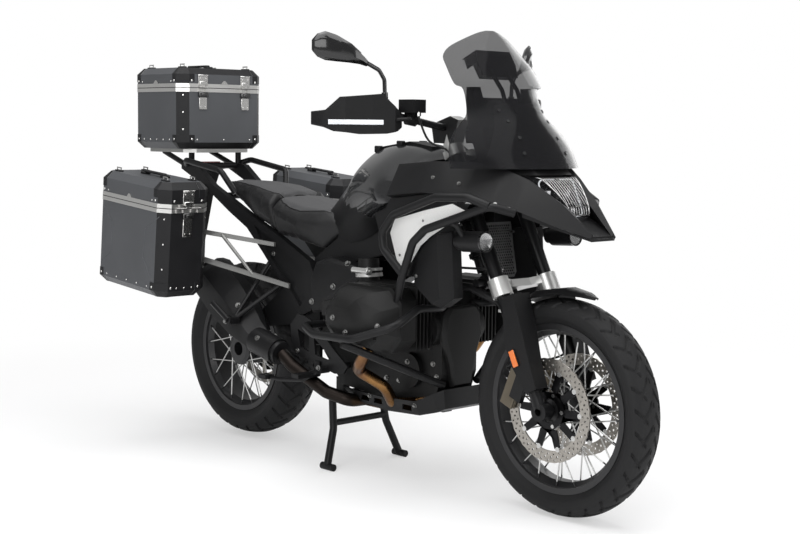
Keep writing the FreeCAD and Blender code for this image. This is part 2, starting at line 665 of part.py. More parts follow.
def rear_subframe():
    """Cast side beams that carry the seat, the luggage and the passenger's rests."""
    outline = [
        (-1050, 1008), (-950, 1000), (-850, 930), (-600, 822), (-450, 762), (-290, 690), (-262, 640),
        (-262, 560), (-279, 521),
        (-341, 495), (-428, 587), (-550, 703), (-642, 784), (-750, 838), (-900, 922), (-1050, 985)]
    pocket = [(-600, 796), (-440, 722), (-325, 655), (-312, 560), (-340, 528), (-420, 612), (-560, 736)]
    plates = []
    for side in (1, -1):
        y0, y1 = sorted((side * (FRAME_HALF + 1), side * BEAM_FACE))
        plate = side_plate(outline, y0, y1)
        y0, y1 = sorted((side * (BEAM_FACE - 10), side * (BEAM_FACE + 1)))
        plates.append(plate.cut(side_plate(pocket, y0, y1)))
        for x, z in ((-520, 668), (-440, 604)):
            plates.append(tube([(x, side * (FRAME_HALF + 16), z), (REST_X, side * REST_Y, REST_Z)], 8))
        plates.append(cross_bar(REST_X, REST_Z, side * (REST_Y - 16), side * (REST_Y + 16), 17))
    cross = []
    for x, z in ((-1000, 996), (-830, 890), (-580, 770)):
        cross.append(cross_bar(x, z, -FRAME_HALF - 3, FRAME_HALF + 3, 12))
    fin = side_plate([
        (-600, 466), (-430, 590), (-400, 560), (-338, 503), (-389, 462), (-560, 434)], -116, -112)
    rails = []
    for side in (1, -1):
        y = side * 150
        rails.append(tube([
            (-1020, side * 116, 1000), (-975, y, 1018), (-758, y, 985), (-715, side * 116, 905)], 11, 30))
    keep("rear_subframe", fuse(*plates, *cross, fin, *rails))


def engine():
    """Crankcase and gearbox as one block, with a raised front cover and the lugs of both stands."""
    outline = [
        (-258, 380), (-258, 470), (-200, 560), (-40, 620), (180, 650), (282, 628), (316, 570), (316, 372),
        (290, 300),
        (60, 262), (-160, 278)]
    block = side_plate(outline, -ENGINE_HALF, ENGINE_HALF)
    # front cover, columns: y, z of the outline seen from the front
    shield = [
        (-62, 590), (62, 590), (84, 560), (92, 498), (56, 408), (40, 330), (-40, 330), (-56, 408),
        (-92, 498), (-84, 560)]
    rim = [(0.84 * y, 460 + 0.93 * (z - 460)) for y, z in shield]
    cover = loft([
        [(312, y, z) for y, z in shield], [(326, y, z) for y, z in shield], [(336, y, z) for y, z in rim]])
    bulges = []
    for side in (1, -1):
        bulges.append(cross_bar(262, 520, side * 70, side * 108, 62))
        bulges.append(cross_bar(262, 520, side * 100, side * 114, 44))
        bulges.append(cross_bar(180, 372, side * 70, side * 98, 56))
        bulges.append(cross_bar(-120, 400, side * 70, side * 92, 74))
    lugs = []
    pin_hole = cross_bar(CENTRE_STAND_X, CENTRE_STAND_Z, -200, 200, STAND_PIN_R + RUNNING)
    for side in (1, -1):
        y0, y1 = sorted((side * 50, side * 76))
        eye = cross_bar(CENTRE_STAND_X, CENTRE_STAND_Z, y0, y1, 20)
        stem = box(CENTRE_STAND_X - 20, CENTRE_STAND_X + 20, y0, y1, CENTRE_STAND_Z, 300)
        lugs += [eye, stem]
    x, z = SIDE_STAND_X, SIDE_STAND_Z
    arm = box(x - 24, x + 24, ENGINE_HALF - 1, SIDE_STAND_Y - 16, z - 6, z + 34)
    body = fuse(block, cover, *bulges, *lugs, arm)
    keep("engine_block", body.cut(pin_hole).cut(side_stand_pin(STAND_PIN_R + RUNNING)))


def side_stand_pin(r):
    """Round pin on the tilted axis of the side stand."""
    here = V(SIDE_STAND_X, SIDE_STAND_Y, SIDE_STAND_Z)
    return rod(here - SIDE_STAND_AXIS * 52, here + SIDE_STAND_AXIS * 8, r)


def cylinders():
    """Finned barrels and faceted heads, left and right, with the inlet on top and a spark plug cover."""
    # columns: y, x0, x1, z0, z1, corner cut
    table = [
        (ENGINE_HALF, 70, 290, 470, 645, 20), (198, 70, 290, 470, 645, 20), (200, 40, 322, 456, 656, 36),
        (268, 34, 330, 456, 658, 44),
        (270, 42, 322, 464, 650, 46), (322, 52, 300, 472, 644, 52), (354, 74, 262, 488, 622, 46),
        (372, 104, 226, 512, 594, 34)]
    sections = []
    for y, x0, x1, z0, z1, c in table:
        sections.append([
            (x0 + c, y, z0), (x1 - c, y, z0), (x1, y, z0 + c), (x1, y, z1 - c), (x1 - c, y, z1),
            (x0 + c, y, z1), (x0, y, z1 - c), (x0, y, z0 + c)])
    fins = [box(56, 304, y, y + 5, 458, 657) for y in range(96, 190, 16)]
    shelf = loft([
        [(24, 268, 556), (24, 268, 606), (150, 268, 630), (150, 268, 556)],
        [(40, 340, 556), (40, 340, 600), (120, 340, 612), (120, 340, 556)]])
    guard = side_plate([(70, 482), (258, 482), (288, 505), (278, 522), (60, 522), (44, 505)], 332, 346)
    inlet = fuse(rod(V(52, 150, 620), V(44, 148, 726), 34), rod(V(50, 150, 668), V(47, 149, 696), 42))
    keep("cylinders", *pair(fuse(loft(sections), *fins, shelf, guard, inlet)).Solids)


def exhaust():
    """A header from each head to the collector under the engine, and the raised silencer on the right."""
    run = [(176, 262, 464), (130, 258, 404), (78, 220, 372), (140, 160, 322), (120, 106, 262), (60, 50, 240)]
    headers = [tube([(x, side * y, z) for x, y, z in run], HEADER_R, 46) for side in (1, -1)]
    collector = box(-110, 76, -54, 54, 216, 262)
    bend = [(-70, -40, 238), (-70, -122, 240), (-150, -158, 262), (-290, -190, 334), CAN_START]
    link = tube(bend, LINK_R, 40)
    keep("exhaust_headers", fuse(*headers, collector, link))
    start = V(*CAN_START)
    stop = V(*CAN_END)
    way = (stop - start).normalize()
    can = fuse(rod(start + way * 2, start + way * 26, 40), rod(start + way * 20, stop, CAN_R))
    # muffler, columns: distance up its axis, half height square to it, inner y, outer y
    table = [
        (-46, 40, -158, -226), (0, 52, -146, -236), (60, 74, -136, -241), (170, 90, -132, -243),
        (300, 84, -132, -243),
        (330, 70, -138, -236)]
    lift = math.radians(MUFFLER_RISE)
    axis = V(-math.cos(lift), 0, math.sin(lift))
    square = V(math.sin(lift), 0, math.cos(lift))
    sections = []
    for distance, half, inner, outer in table:
        middle = MUFFLER_FOOT + axis * distance
        corners = [
            (-half, inner - 18), (-0.7 * half, inner), (0.7 * half, inner), (half, inner - 18),
            (half, outer + 52),
            (0.3 * half, outer), (-0.7 * half, outer), (-half, outer + 34)]
        points = [middle + square * h + V(0, y, 0) for h, y in corners]
        sections.append([(p.x, p.y, p.z) for p in points])
    muffler = loft(sections)
    outlets = []
    bores = [link]
    for h in (-28, 28):
        mouth = MUFFLER_FOOT + V(0, -195, 0) + axis * 330 + square * h
        outlets.append(rod(mouth - axis * 4, mouth + axis * 16, OUTLET_R))
        bores.append(rod(mouth - axis * 60, mouth + axis * 17, OUTLET_BORE_R))
    silencer = fuse(can, muffler, *outlets)
    for bore in bores:
        silencer = silencer.cut(bore)
    keep("silencer", silencer)


def skid_plate():
    """Pressed guard: a belly, an upswept nose and side walls with lightening slots."""
    t = 5.0
    # columns: x, half width of the belly, half width at the wall's top, bottom z, top z
    table = [
        (-126, 90, 108, 262, 282), (-60, 94, 111, 238, 276), (90, 102, 125, 228, 276),
        (245, 104, 128, 236, 284),
        (312, 96, 110, 254, 316)]
    outer = []
    inner = []
    for x, low_half, high_half, low, high in table:
        outer.append([(x, -high_half, high), (x, -low_half, low), (x, low_half, low), (x, high_half, high)])
        inner.append([
            (x, t - high_half, high + 1), (x, t - low_half, low + t), (x, low_half - t, low + t),
            (x, high_half - t, high + 1)])
    shell = loft(outer)
    room = loft(inner)
    nose = loft([
        [(312, -110, 316), (312, -96, 254), (312, 96, 254), (312, 110, 316)],
        [(340, -92, 330), (340, -84, 268), (340, 84, 268), (340, 92, 330)]])
    nose = nose.cut(loft([
        [(311, -106, 340), (311, -91, 260), (311, 91, 260), (311, 106, 340)],
        [(335, -88, 340), (335, -80, 274), (335, 80, 274), (335, 88, 340)]]))
    body = fuse(shell.cut(room), nose)
    for x in (-40, 30, 170):
        body = body.cut(side_plate([(x, 246), (x + 12, 266), (x + 52, 266), (x + 44, 246)], -140, 140))
    posts = [box(x, x + 16, -20, 20, z0, z1) for x, z0, z1 in ((250, 238, 294), (-112, 248, 284))]
    keep("skid_plate", fuse(body, *posts))


def swingarm():
    """Single-sided arm on the left with the shaft inside and the final drive at its end."""
    y = 125
    ends = []
    for x, inner, low, high in (
            (PIVOT_X + 10, y - 26, PIVOT_Z - 40, PIVOT_Z + 36),
            (REAR_X + 70, y - 24, REAR_Z - 34, REAR_Z + 44)):
        ends.append([(x, inner, low), (x, y + 26, low), (x, y + 26, high), (x, inner, high)])
    arm = loft(ends)
    drive = cross_bar(REAR_X, REAR_Z, 62, 126, 92)
    cap = cross_bar(REAR_X, REAR_Z, 126, 140, 64)
    yoke = cross_bar(PIVOT_X, PIVOT_Z, FRAME_HALF, y + 26, 44)
    lug = box(SHOCK_LOW[0] - 22, SHOCK_LOW[0] + 22, 76, y, SHOCK_LOW[1] - 34, SHOCK_LOW[1] + 18)
    pin = cross_bar(SHOCK_LOW[0], SHOCK_LOW[1], 22, 90, SHOCK_PIN_R)
    body = fuse(arm, drive, cap, yoke, lug, pin)
    body = body.cut(cross_bar(REAR_X, REAR_Z, 50, 160, 34 + RUNNING))
    keep("swingarm", body)


def strut(low, high, y, body_r, spring_r):
    """Damper with eyes on both pins and its spring as a ribbed sleeve."""
    a = V(low[0], y, low[1])
    b = V(high[0], y, high[1])
    way = (b - a).normalize()
    length = (b - a).Length
    pieces = [rod(a, b, 10), rod(a + way * 34, a + way * (0.55 * length), body_r)]
    turns = 6
    start = 0.28 * length
    pitch = (length - 34 - start) / turns
    for i in range(turns):
        near = a + way * (start + i * pitch)
        pieces.append(rod(near, near + way * pitch, spring_r - 7))
        pieces.append(rod(near + way * (0.2 * pitch), near + way * (0.65 * pitch), spring_r))
    for p in (a, b):
        pieces.append(rod(p - V(0, 17, 0), p + V(0, 17, 0), 21))
    whole = fuse(*pieces)
    for p in (a, b):
        whole = whole.cut(rod(p - V(0, 60, 0), p + V(0, 60, 0), SHOCK_PIN_R))
    return whole


def suspension():
    """Rear strut, and the front arm with its strut between engine, frame and fork bridge."""
    keep("rear_shock", strut(SHOCK_LOW, SHOCK_TOP, 40, 22, 34))
    arm = []
    ball_s = BRIDGE_S - 20
    for side in (1, -1):
        tip = steer(ball_s, -4, side * 3)
        near = steer(ball_s, -52, side * 14)
        path = [
            (228, side * 62, 653.5), (STRUT_LOW[0] - 20, side * 50, 657), (near.x, near.y, near.z),
            (tip.x, tip.y, tip.z)]
        arm.append(tube(path, 13, 40))
    cross = cross_bar(STRUT_LOW[0], STRUT_LOW[1], -50, 50, SHOCK_PIN_R)
    joint = rod(steer(ball_s - 12), steer(ball_s + 12), 17)
    pin = rod(steer(ball_s), steer(BRIDGE_S + 36), BALL_PIN_R)
    axle = cross_bar(228, 653.5, -74, 74, 13)
    arm = fuse(*arm, cross, joint, pin, axle)
    keep("front_suspension_arm", arm)
    keep("front_strut", strut(STRUT_LOW, STRUT_TOP, 0, 20, 31))


# ---------------------------------------------------------------- bodywork
def fuel_tank():
    sections = [
        (-262, [(0, 872), (40, 866), (70, 835), (78, 790), (70, 742)]),
        (-190, [(0, 944), (46, 932), (88, 880), (98, 820), (80, 745)]),
        (-100, [(0, 1020), (60, 1004), (126, 930), (132, 850), (96, 765)]),
        (-20, [(0, 1080), (68, 1062), (156, 985), (156, 868), (100, 785)]),
        (110, [(0, 1098), (92, 1078), (205, 1000), (200, 890), (104, 850)]),
        (220, [(0, 1082), (100, 1060), (236, 985), (236, 915), (106, 900)]),
        (268, [(0, 1052), (100, 1040), (236, 984), (238, 922), (106, 918)])]
    tank = spine_loft(sections)
    room = side_plate([
        (-150, 740), (-100, 800), (60, 860), (200, 940), (300, 1050), (400, 1000), (400, 700), (-150, 700)],
        -FRAME_HALF - 3, FRAME_HALF + 3)
    keep("fuel_tank", tank.cut(room))


def tank_side_panels():
    outline = [
        (256, 825), (276, 868), (400, 900), (520, 926), (580, 906), (430, 825), (388, 794), (307, 690)]
    panel = side_plate(outline, SIDE_Y - 4, SIDE_Y)
    keep("tank_side_panels", *pair(panel).Solids)


def radiator_shrouds():
    """Outer side bodies under the silver panels: a ribbed cover round each cooler beside the fork."""
    # outline seen from the side, x and z
    flank = [
        (180, 880), (230, 900), (250, 930), (420, 950), (540, 930), (470, 836), (385, 816), (337, 700),
        (300, 690),
        (262, 770), (200, 826)]
    outer = side_plate(flank, SIDE_Y - 60, SIDE_Y - 4)
    edge = [(365, 826), (394, 834), (476, 838), (490, 640), (436, 606), (343, 670)]
    face = [(373, 821), (396, 829), (446, 831), (462, 642), (430, 620), (351, 672)]
    cover = loft([
        [(x, SIDE_Y - 84, z) for x, z in edge], [(x, SIDE_Y - 46, z) for x, z in edge],
        [(x, SIDE_Y - 12, z) for x, z in face]])
    bridge = side_plate([(330, 800), (400, 830), (400, 690), (330, 700)], SIDE_Y - 60, SIDE_Y - 14)
    cooler = box(318, 352, 112, SIDE_Y - 30, 700, 905)
    keep("radiator_shrouds", *pair(fuse(outer, cover, bridge, cooler)).Solids)


def nose_wing():
    """Left wing of the nose, from beside the tank to the tip of the beak."""
    # columns: x, then outer top y z, outer bottom y z, inner bottom y z, inner top y z
    table = [
        (250, 210, 1035, 262, 940, 240, 932, 190, 1026), (400, 205, 1048, 262, 955, 236, 946, 176, 1042),
        (550, 178, 1048, 236, 950, 206, 940, 145, 1040), (640, 146, 1028, 210, 932, 176, 921, 112, 1016),
        (700, 116, 1000, 178, 915, 142, 904, 84, 986), (800, 78, 930, 122, 872, 84, 862, 50, 918),
        (885, 48, 850, 58, 838, 50, 828, 40, 840)]
    sections = []
    for x, ty, tz, by, bz, iby, ibz, ity, itz in table:
        sections.append([(x, ty, tz), (x, by, bz), (x, iby, ibz), (x, ity, itz)])
    return loft(sections)


def nose_fairing():
    """Both wings joined by the beak and by the shelf that carries the headlight."""
    wing = nose_wing()
    beak = loft([
        [(700, -143, 905), (700, 143, 905), (700, 143, 892), (700, -143, 892)],
        [(800, -86, 868), (800, 86, 868), (800, 86, 854), (800, -86, 854)],
        [(885, -54, 838), (885, 54, 838), (885, 52, 828), (885, -52, 828)],
        [(896, -30, 836), (896, 30, 836), (896, 30, 830), (896, -30, 830)]])
    ridge = loft([
        [(772, -72, 892), (772, 72, 892), (772, 74, 868), (772, -74, 868)],
        [(884, -48, 842), (884, 48, 842), (884, 50, 830), (884, -50, 830)]])
    end = steer(HEAD_S0 + 30, BRACKET_LEAD)
    shelf = box(end.x, 640, -150, 150, 1000, 1012)
    keep("nose_fairing", fuse(wing, mirrored(wing), beak, ridge, shelf))


def headlight():
    """Lamp body between the wings; its sloping face narrows towards the beak."""
    lens = loft([
        [(640, -96, 1007), (640, 96, 1007), (640, 104, 903.4), (640, -104, 903.4)],
        [(705, -86, 1007), (705, 86, 1007), (705, 96, 903.4), (705, -96, 903.4)],
        [(750, -66, 968), (750, 66, 968), (750, 74, 880), (750, -74, 880)],
        [(786, -50, 920), (786, 50, 920), (786, 54, 872), (786, -54, 872)]])
    under = [
        (600, 892), (700, 905.2), (771.5, 880.4), (771.5, 892.4), (800, 879.6), (930, 840), (930, 700),
        (600, 700)]
    lens = lens.cut(side_plate(under, -300, 300))
    keep("headlight", lens.cut(pair(nose_wing())))


def windscreen():
    """Tall screen, bowed in plan: each level is a parabola from the centre back to both edges."""
    # columns: z, x at the centre, x at the edge, half width
    table = [
        (1030, 704, 540, 280), (1085, 669, 525, 272), (1120, 647, 513, 250), (1160, 620, 503, 205),
        (1192, 599, 494, 168),
        (1262, 553, 475, 164), (1278, 543, 468, 194), (1330, 510, 433, 194), (1362, 490, 407, 183),
        (1390, 471, 400, 152),
        (1415, 455, 411, 104), (1436, 440, 421, 52), (1444, 434, 426, 20)]
    sections = []
    for z, xc, xe, half in table:
        front = []
        back = []
        for k in range(-3, 4):
            y = half * k / 3
            x = xc - (xc - xe) * (y / half) ** 2
            square = V(1, 2 * (xc - xe) * y / half ** 2, 0).normalize() * SCREEN_T
            front.append((x, y, z))
            back.append((x - square.x, y - square.y, z))
        sections.append(front + back[::-1])
    keep("windscreen", loft(sections))


def instruments():
    """Cowl behind the screen with raised cheeks, the display in it and the navigation unit on two arms."""
    # columns: z, x of the rear face, half width, x of the front at the sides, half width and x of its middle
    table = [
        (1012.5, 520, 126, 560, 76, 700), (1030, 520, 134, 556, 76, 674), (1150, 480, 146, 538, 70, 598),
        (1225, 462, 138, 488, 60, 546),
        (1270, 456, 130, 482, 54, 518)]
    sections = []
    for z, rear, half, side_x, mid_half, mid_x in table:
        sections.append([
            (rear, -half, z), (rear, half, z), (side_x, half, z), (mid_x, mid_half, z),
            (mid_x, -mid_half, z),
            (side_x, -half, z)])
    cowl = loft(sections).cut(box(440, 516, -108, 108, 1140, 1280)).cut(box(500, 600, -92, 92, 1226, 1280))
    mount = box(560, 630, -40, 40, 1012, 1031)
    display = box(-6, 6, -90, 90, -50, 50)
    display.rotate(V(0, 0, 0), V(0, 1, 0), -25)
    display.translate(V(486, 0, 1192))
    stem = rod(V(488, 0, 1192), V(520, 0, 1186), 20)
    props = []
    for x, y, z in ((650, 56, 1060), (560, 40, 1200)):
        for side in (1, -1):
            props.append(rod(V(x - 40, side * y, z), V(x + 60, side * y, z), 9))
    arms = [tube([(530, y, 1215), (512, y, 1262), (462, y, 1322)], 6.5, 30) for y in (-34, 34)]
    unit = loft([
        [(-14, -70, -40), (-14, 70, -40), (-14, 78, 0), (-14, 70, 40), (-14, -70, 40), (-14, -78, 0)],
        [(12, -76, -44), (12, 76, -44), (12, 84, 0), (12, 76, 44), (12, -76, 44), (12, -84, 0)]])
    unit.rotate(V(0, 0, 0), V(0, 1, 0), -25)
    unit.translate(V(446, 0, 1338))
    keep("instrument_panel", fuse(cowl, mount, display, stem, *props, *arms, unit))


def seats():
    """Two cushions on the beams of the frame and subframe; the front one straddles the tank's tail."""
    below = side_plate(SEAT_LINE + [(60, 500), (-850, 500)], -400, 400)
    rider = spine_loft([
        (-485, [(0, 912), (100, 902), (140, 868), (112, 770)]),
        (-330, [(0, 882), (118, 874), (158, 828), (118, 752)]),
        (-230, [(0, 872), (108, 868), (146, 822), (114, 736)]),
        (-150, [(0, 868), (84, 862), (112, 832), (98, 752)])])
    keep("rider_seat", rider.cut(below))
    back = spine_loft([
        (-830, [(0, 950), (62, 946), (84, 936), (80, 905)]),
        (-700, [(0, 950), (84, 944), (106, 925), (100, 850)]),
        (-600, [(0, 942), (108, 934), (136, 906), (118, 800)]),
        (-485.3, [(0, 920), (108, 910), (142, 872), (112, 776)])])
    keep("passenger_seat", back.cut(below))


# ---------------------------------------------------------------- luggage
def case_plan(front, length, half_w, mid_y, inset=0.0):
    """Rectangle with cut corners seen from above, moved inwards by inset."""
    x0, x1 = front - length + inset, front - inset
    half = half_w - inset
    c = CASE_CORNER - 0.586 * inset
    return [
        (x1, mid_y - half + c), (x1, mid_y + half - c), (x1 - c, mid_y + half), (x0 + c, mid_y + half),
        (x0, mid_y + half - c), (x0, mid_y - half + c), (x0 + c, mid_y - half), (x1 - c, mid_y - half)]


def prism(plan, z0, z1):
    face = Part.Face(polygon([(x, y, z0) for x, y in plan]))
    return face.extrude(V(0, 0, z1 - z0))


def case_shell(base, levels, open_top):
    """Folded sheet with a bead at its open rim and moulded caps on its corners.

    base is front x, length, half width and middle y; levels are rows of z and inset from closed end to rim.
    """
    front, length, half_w, mid_y = base
    closed, rim = levels[0][0], levels[-1][0]
    inward = 1 if open_top else -1

    def solid(extra, end_shift, rim_shift):
        rows = [[z, inset + extra] for z, inset in levels]
        rows[0][0] += end_shift * inward
        rows[-1][0] += rim_shift * inward
        sections = []
        for z, inset in rows:
            sections.append([(x, y, z) for x, y in case_plan(front, length, half_w, mid_y, inset)])
        return loft(sections)

    sheet = solid(BAND_T, 0, 0).cut(solid(BAND_T + CASE_WALL, CASE_WALL, 1))
    skin = solid(0, 0, 0).cut(solid(BAND_T + 0.5, -1, 1))
    z0, z1 = sorted((rim, rim - inward * BAND_H))
    keepers = [box(front - length - 1, front + 1, mid_y - half_w - 1, mid_y + half_w + 1, z0, z1)]
    z0, z1 = sorted((closed - inward, closed + inward * CAP_H))
    for end in (front - length, front - CAP_W):
        for edge in (mid_y - half_w, mid_y + half_w - CAP_W):
            keepers.append(box(end - 1, end + CAP_W + 1, edge - 1, edge + CAP_W + 1, z0, z1))
    return fuse(sheet, skin.common(Part.makeCompound(keepers)))


def case(front, length, half_w, mid_y, z, body_h, lid_h, latches):
    """Body and lid of a case, hinged at the latches on its front face, whose y are given."""
    seam = z + body_h
    base = (front, length, half_w, mid_y)
    low = seam + LID_GAP
    body = case_shell(base, [(z, CASE_FOLD), (z + CASE_FOLD, 0), (seam, 0)], True)
    lid = case_shell(base, [(low + lid_h, CASE_FOLD), (low + lid_h - CASE_FOLD, 0), (low, 0)], False)
    axis_x = front + HINGE_R + 1
    axis_z = seam + LID_GAP / 2
    body_parts = [body]
    lid_parts = [lid]
    pins = []
    for y in latches:
        for a, b, on_lid in ((-20, -8, False), (-7.5, 7.5, True), (8, 20, False)):
            barrel = cross_bar(axis_x, axis_z, y + a, y + b, HINGE_R)
            if on_lid:
                barrel = barrel.cut(cross_bar(axis_x, axis_z, y - 30, y + 30, HINGE_PIN_R + RUNNING))
                leaf = box(front - 0.5, axis_x, y + a, y + b, axis_z + HINGE_PIN_R + 1, axis_z + 14)
                lid_parts.append(fuse(barrel, leaf))
            else:
                leaf = box(front - 0.5, axis_x, y + a, y + b, axis_z - 14, axis_z - HINGE_PIN_R + 1)
                body_parts.append(fuse(barrel, leaf))
        body_parts.append(cross_bar(axis_x, axis_z, y - 20, y + 20, HINGE_PIN_R))
    return fuse(*body_parts), fuse(*lid_parts)


def cases():
    body, lid = case(
        TOP_CASE_FRONT_X, TOP_CASE_L, TOP_CASE_HALF_W, 0.0, TOP_CASE_Z, TOP_CASE_BODY_H, TOP_CASE_LID_H,
        (-TOP_LATCH_Y, TOP_LATCH_Y))
    keep("top_case", body)
    keep("top_case_lid", lid)
    mid_y = PANNIER_INNER_Y + PANNIER_W / 2
    body, lid = case(
        PANNIER_FRONT_X, PANNIER_L, PANNIER_W / 2, mid_y, PANNIER_Z, PANNIER_BODY_H, PANNIER_LID_H,
        (mid_y - 30, mid_y + 30))
    for shape in (body, lid):
        shape.rotate(V(PANNIER_FRONT_X, 0, PANNIER_Z), V(0, 1, 0), PANNIER_PITCH)
    keep("panniers", body, mirrored(body))
    keep("pannier_lid_left", lid)
    keep("pannier_lid_right", mirrored(lid))


def carriers():
    """Rack plate under the top case on its posts, and a braced hoop on each side for the panniers."""
    plate = prism(case_plan(-960, 290, 150, 0.0), TOP_CASE_Z - 14, TOP_CASE_Z)
    for x, half in ((-1030, 60), (-1150, 100)):
        plate = plate.cut(box(x - 34, x + 34, -half, half, TOP_CASE_Z - 20, TOP_CASE_Z + 1))
    legs = []
    for side in (1, -1):
        legs.append(tube([(-1000, side * 108, 1004.5), (-1000, side * 108, TOP_CASE_Z - 13)], 11))
        legs.append(tube([(-1180, side * 108, TOP_CASE_Z - 13), (-1040, side * 108, 1000)], 10))
    keep("luggage_rack", fuse(plate, *legs))
    y = PANNIER_INNER_Y + BAND_T - HOOP_R
    foot = BEAM_FACE + 0.5
    fore = tube([(-850, y, 787), (-706, y, 775), (-706, y, 645), (-850, y, 642)], HOOP_R, 30)
    aft = tube([(-850, y, 787), (-1000, y, 800), (-985, y, 640), (-850, y, 642)], HOOP_R, 30)
    # flat stays, columns: rear x, lower and upper z at the hoop; front x, lower and upper z at the beam
    table = [(-710, 766, 782, -474, 728, 742), (-706, 668, 686, -392, 588, 604)]
    stays = []
    for x0, low0, high0, x1, low1, high1 in table:
        stays.append(loft([
            [(x0, y - 4, low0), (x0, y - 4, high0), (x0, y + 4, high0), (x0, y + 4, low0)],
            [(x1, foot, low1), (x1, foot, high1), (x1, foot + 8, high1), (x1, foot + 8, low1)]]))
    ends = []
    for x, (x0, low0, high0, x1, low1, high1) in zip((-640, -520), table):
        t = (x - x0) / (x1 - x0)
        ends.append(V(x, y + t * (foot + 4 - y), 0.5 * (low0 + high0) * (1 - t) + 0.5 * (low1 + high1) * t))
    stays.append(rod(ends[0], ends[1], 6))
    stays.append(tube([(-960, y, 797), (-900, foot, 925)], HOOP_R))
    keep("pannier_carriers", *pair(fuse(fore, aft, *stays)).Solids)


# ---------------------------------------------------------------- bars, lamps and small pieces
def crash_bars():
    y = 286
    upper = [
        (300, 262, 610), (334, 274, 690), (394, y, 806), (446, y, 848), (660, 240, 925), (700, 176, 905)]
    top = [
        (342, 277, 706), (266, y, 778), (257, y, 828), (308, y, 884), (490, y, 945), (600, 264, 948),
        (660, 240, 925)]
    left = fuse(tube(upper, CRASH_R, 40), tube(top, CRASH_R, 40))
    keep("upper_crash_bars", *pair(left).Solids)
    low = [
        (-100, ENGINE_HALF, 500), (-60, 330, 512), (60, 392, 502), (240, 396, 506), (362, 322, 552),
        (354, 220, 598),
        (348, 110, 592), (300, 64, 590)]
    strut = [(200, 395, 488), (322, ENGINE_HALF - 4, 340)]
    left = fuse(tube(low, CRASH_R, 60), tube(strut, CRASH_R))
    keep("lower_crash_bars", *pair(left).Solids)


def lamps():
    shell = fuse(rod(V(526, 202, 814), V(610, 202, 818), 31), rod(V(504, 202, 813), V(527, 202, 814), 24))
    stay = tube([(540, 212, 820), (540, 250, 864), (520, 272, 878)], 8, 12)
    keep("auxiliary_lamps", *pair(fuse(shell, stay)).Solids)


def footrests():
    """Rider's rests on pierced plates, the brake pedal on the right, and the passenger's rests."""
    outline = [
        (-256, 505), (-300, 512), (-339, 470), (-331, 406), (-300, 372), (-104, 330), (-60, 336),
        (-40, 362), (-110, 410),
        (-209, 488)]
    holes = [
        [(-300, 460), (-284, 400), (-240, 388), (-238, 440)],
        [(-214, 440), (-205, 382), (-150, 372), (-120, 378)]]
    near = ENGINE_HALF + 76
    plate = side_plate(outline, near, near + 8)
    for hole in holes:
        plate = plate.cut(side_plate(hole, near - 1, near + 9))
    posts = [cross_bar(x, z, ENGINE_HALF - 0.5, near + 1, 10) for x, z in ((-228, 420), (-110, 352))]
    peg = fuse(
        cross_bar(-190, 322, near + 6, near + 34, 13), box(-208, -172, near + 32, near + 108, 314, 328))
    hanger = box(-204, -176, near + 6, near + 14, 322, 362)
    rider = fuse(plate, *posts, peg, hanger)
    arm = [
        (-150, -near - 28, 340), (-220, -near - 52, 298), (-330, -near - 56, 286), (-398, -near - 60, 286)]
    pedal = fuse(
        tube(arm, 7, 20),
        box(-420, -380, -near - 84, -near - 46, 282, 296), cross_bar(-150, 340, -near - 38, -near + 2, 13))
    peg_rear = fuse(
        cross_bar(REST_X, REST_Z, REST_Y + 16.2, REST_Y + 24, 14),
        tube([(REST_X, REST_Y + 20, REST_Z), (REST_X - 90, REST_Y + 22, REST_Z + 52)], 11))
    keep("footrests", rider, fuse(mirrored(rider), pedal), *pair(peg_rear).Solids)


def tail():
    """Inner rear guard under the tail, plate carrier behind the tyre and the tail lamp."""
    far = REAR_X - REAR_TYRE_R - 89
    outline = [
        (-1010.6, 990), (-1050, 985), (far + 72, 900), (far + 12, 700), (far, 500), (far + 5, 500),
        (far + 17, 700), (far + 78, 900), (-1046, 978), (-1010.6, 984)]
    keep("rear_mudguard", side_plate(outline, -60, 60))
    lamp = box(-1066, -1050, -60, 60, 985, 1010)
    keep("tail_lamp", lamp)


def stands():
    """Centre stand, deployed, and side stand, folded back along the left side."""
    x, z = CENTRE_STAND_X, CENTRE_STAND_Z
    legs = []
    for side in (1, -1):
        foot_y = side * 165
        path = [(x, side * CENTRE_STAND_Y, z), (x + 18, side * 120, 130), (x + 40, foot_y, 12)]
        legs.append(tube(path, 13, 60))
        legs.append(rod(V(x + 14, foot_y, 12), V(x + 74, foot_y, 12), 12))
        legs.append(cross_bar(x, z, side * 96, side * 124, 18))
    cross = cross_bar(x + 16, 150, -117, 117, 11)
    pin = cross_bar(x, z, -120, 120, STAND_PIN_R)
    keep("centre_stand", fuse(*legs, cross, pin))
    x, y, z = SIDE_STAND_X, SIDE_STAND_Y, SIDE_STAND_Z
    here = V(x, y, z)
    leg = tube([(x, y, z), (x - 110, y + 12, z - 30), (x - 250, y + 16, z - 28)], 13, 60)
    foot = cross_bar(x - 250, z - 28, y, y + 40, 20)
    boss = rod(here - SIDE_STAND_AXIS * 8, here + SIDE_STAND_AXIS * 14, 20)
    keep("side_stand", fuse(leg, foot, boss, side_stand_pin(STAND_PIN_R)))


def main():
    os.makedirs("parts", exist_ok=True)
    front_wheel()
    rear_wheel()
    fork()
    handlebar()
    hand_controls()
    hand_guards()
    mirrors()
    front_mudguard()
    front_calipers()
    main_frame()
    rear_subframe()
    engine()
    cylinders()
    exhaust()
    skid_plate()
    swingarm()
    suspension()
    fuel_tank()
    tank_side_panels()
    radiator_shrouds()
    nose_fairing()
    headlight()
    windscreen()
    instruments()
    seats()
    cases()
    carriers()
    crash_bars()
    lamps()
    footrests()
    tail()
    stands()
    fit_and_write()


main()
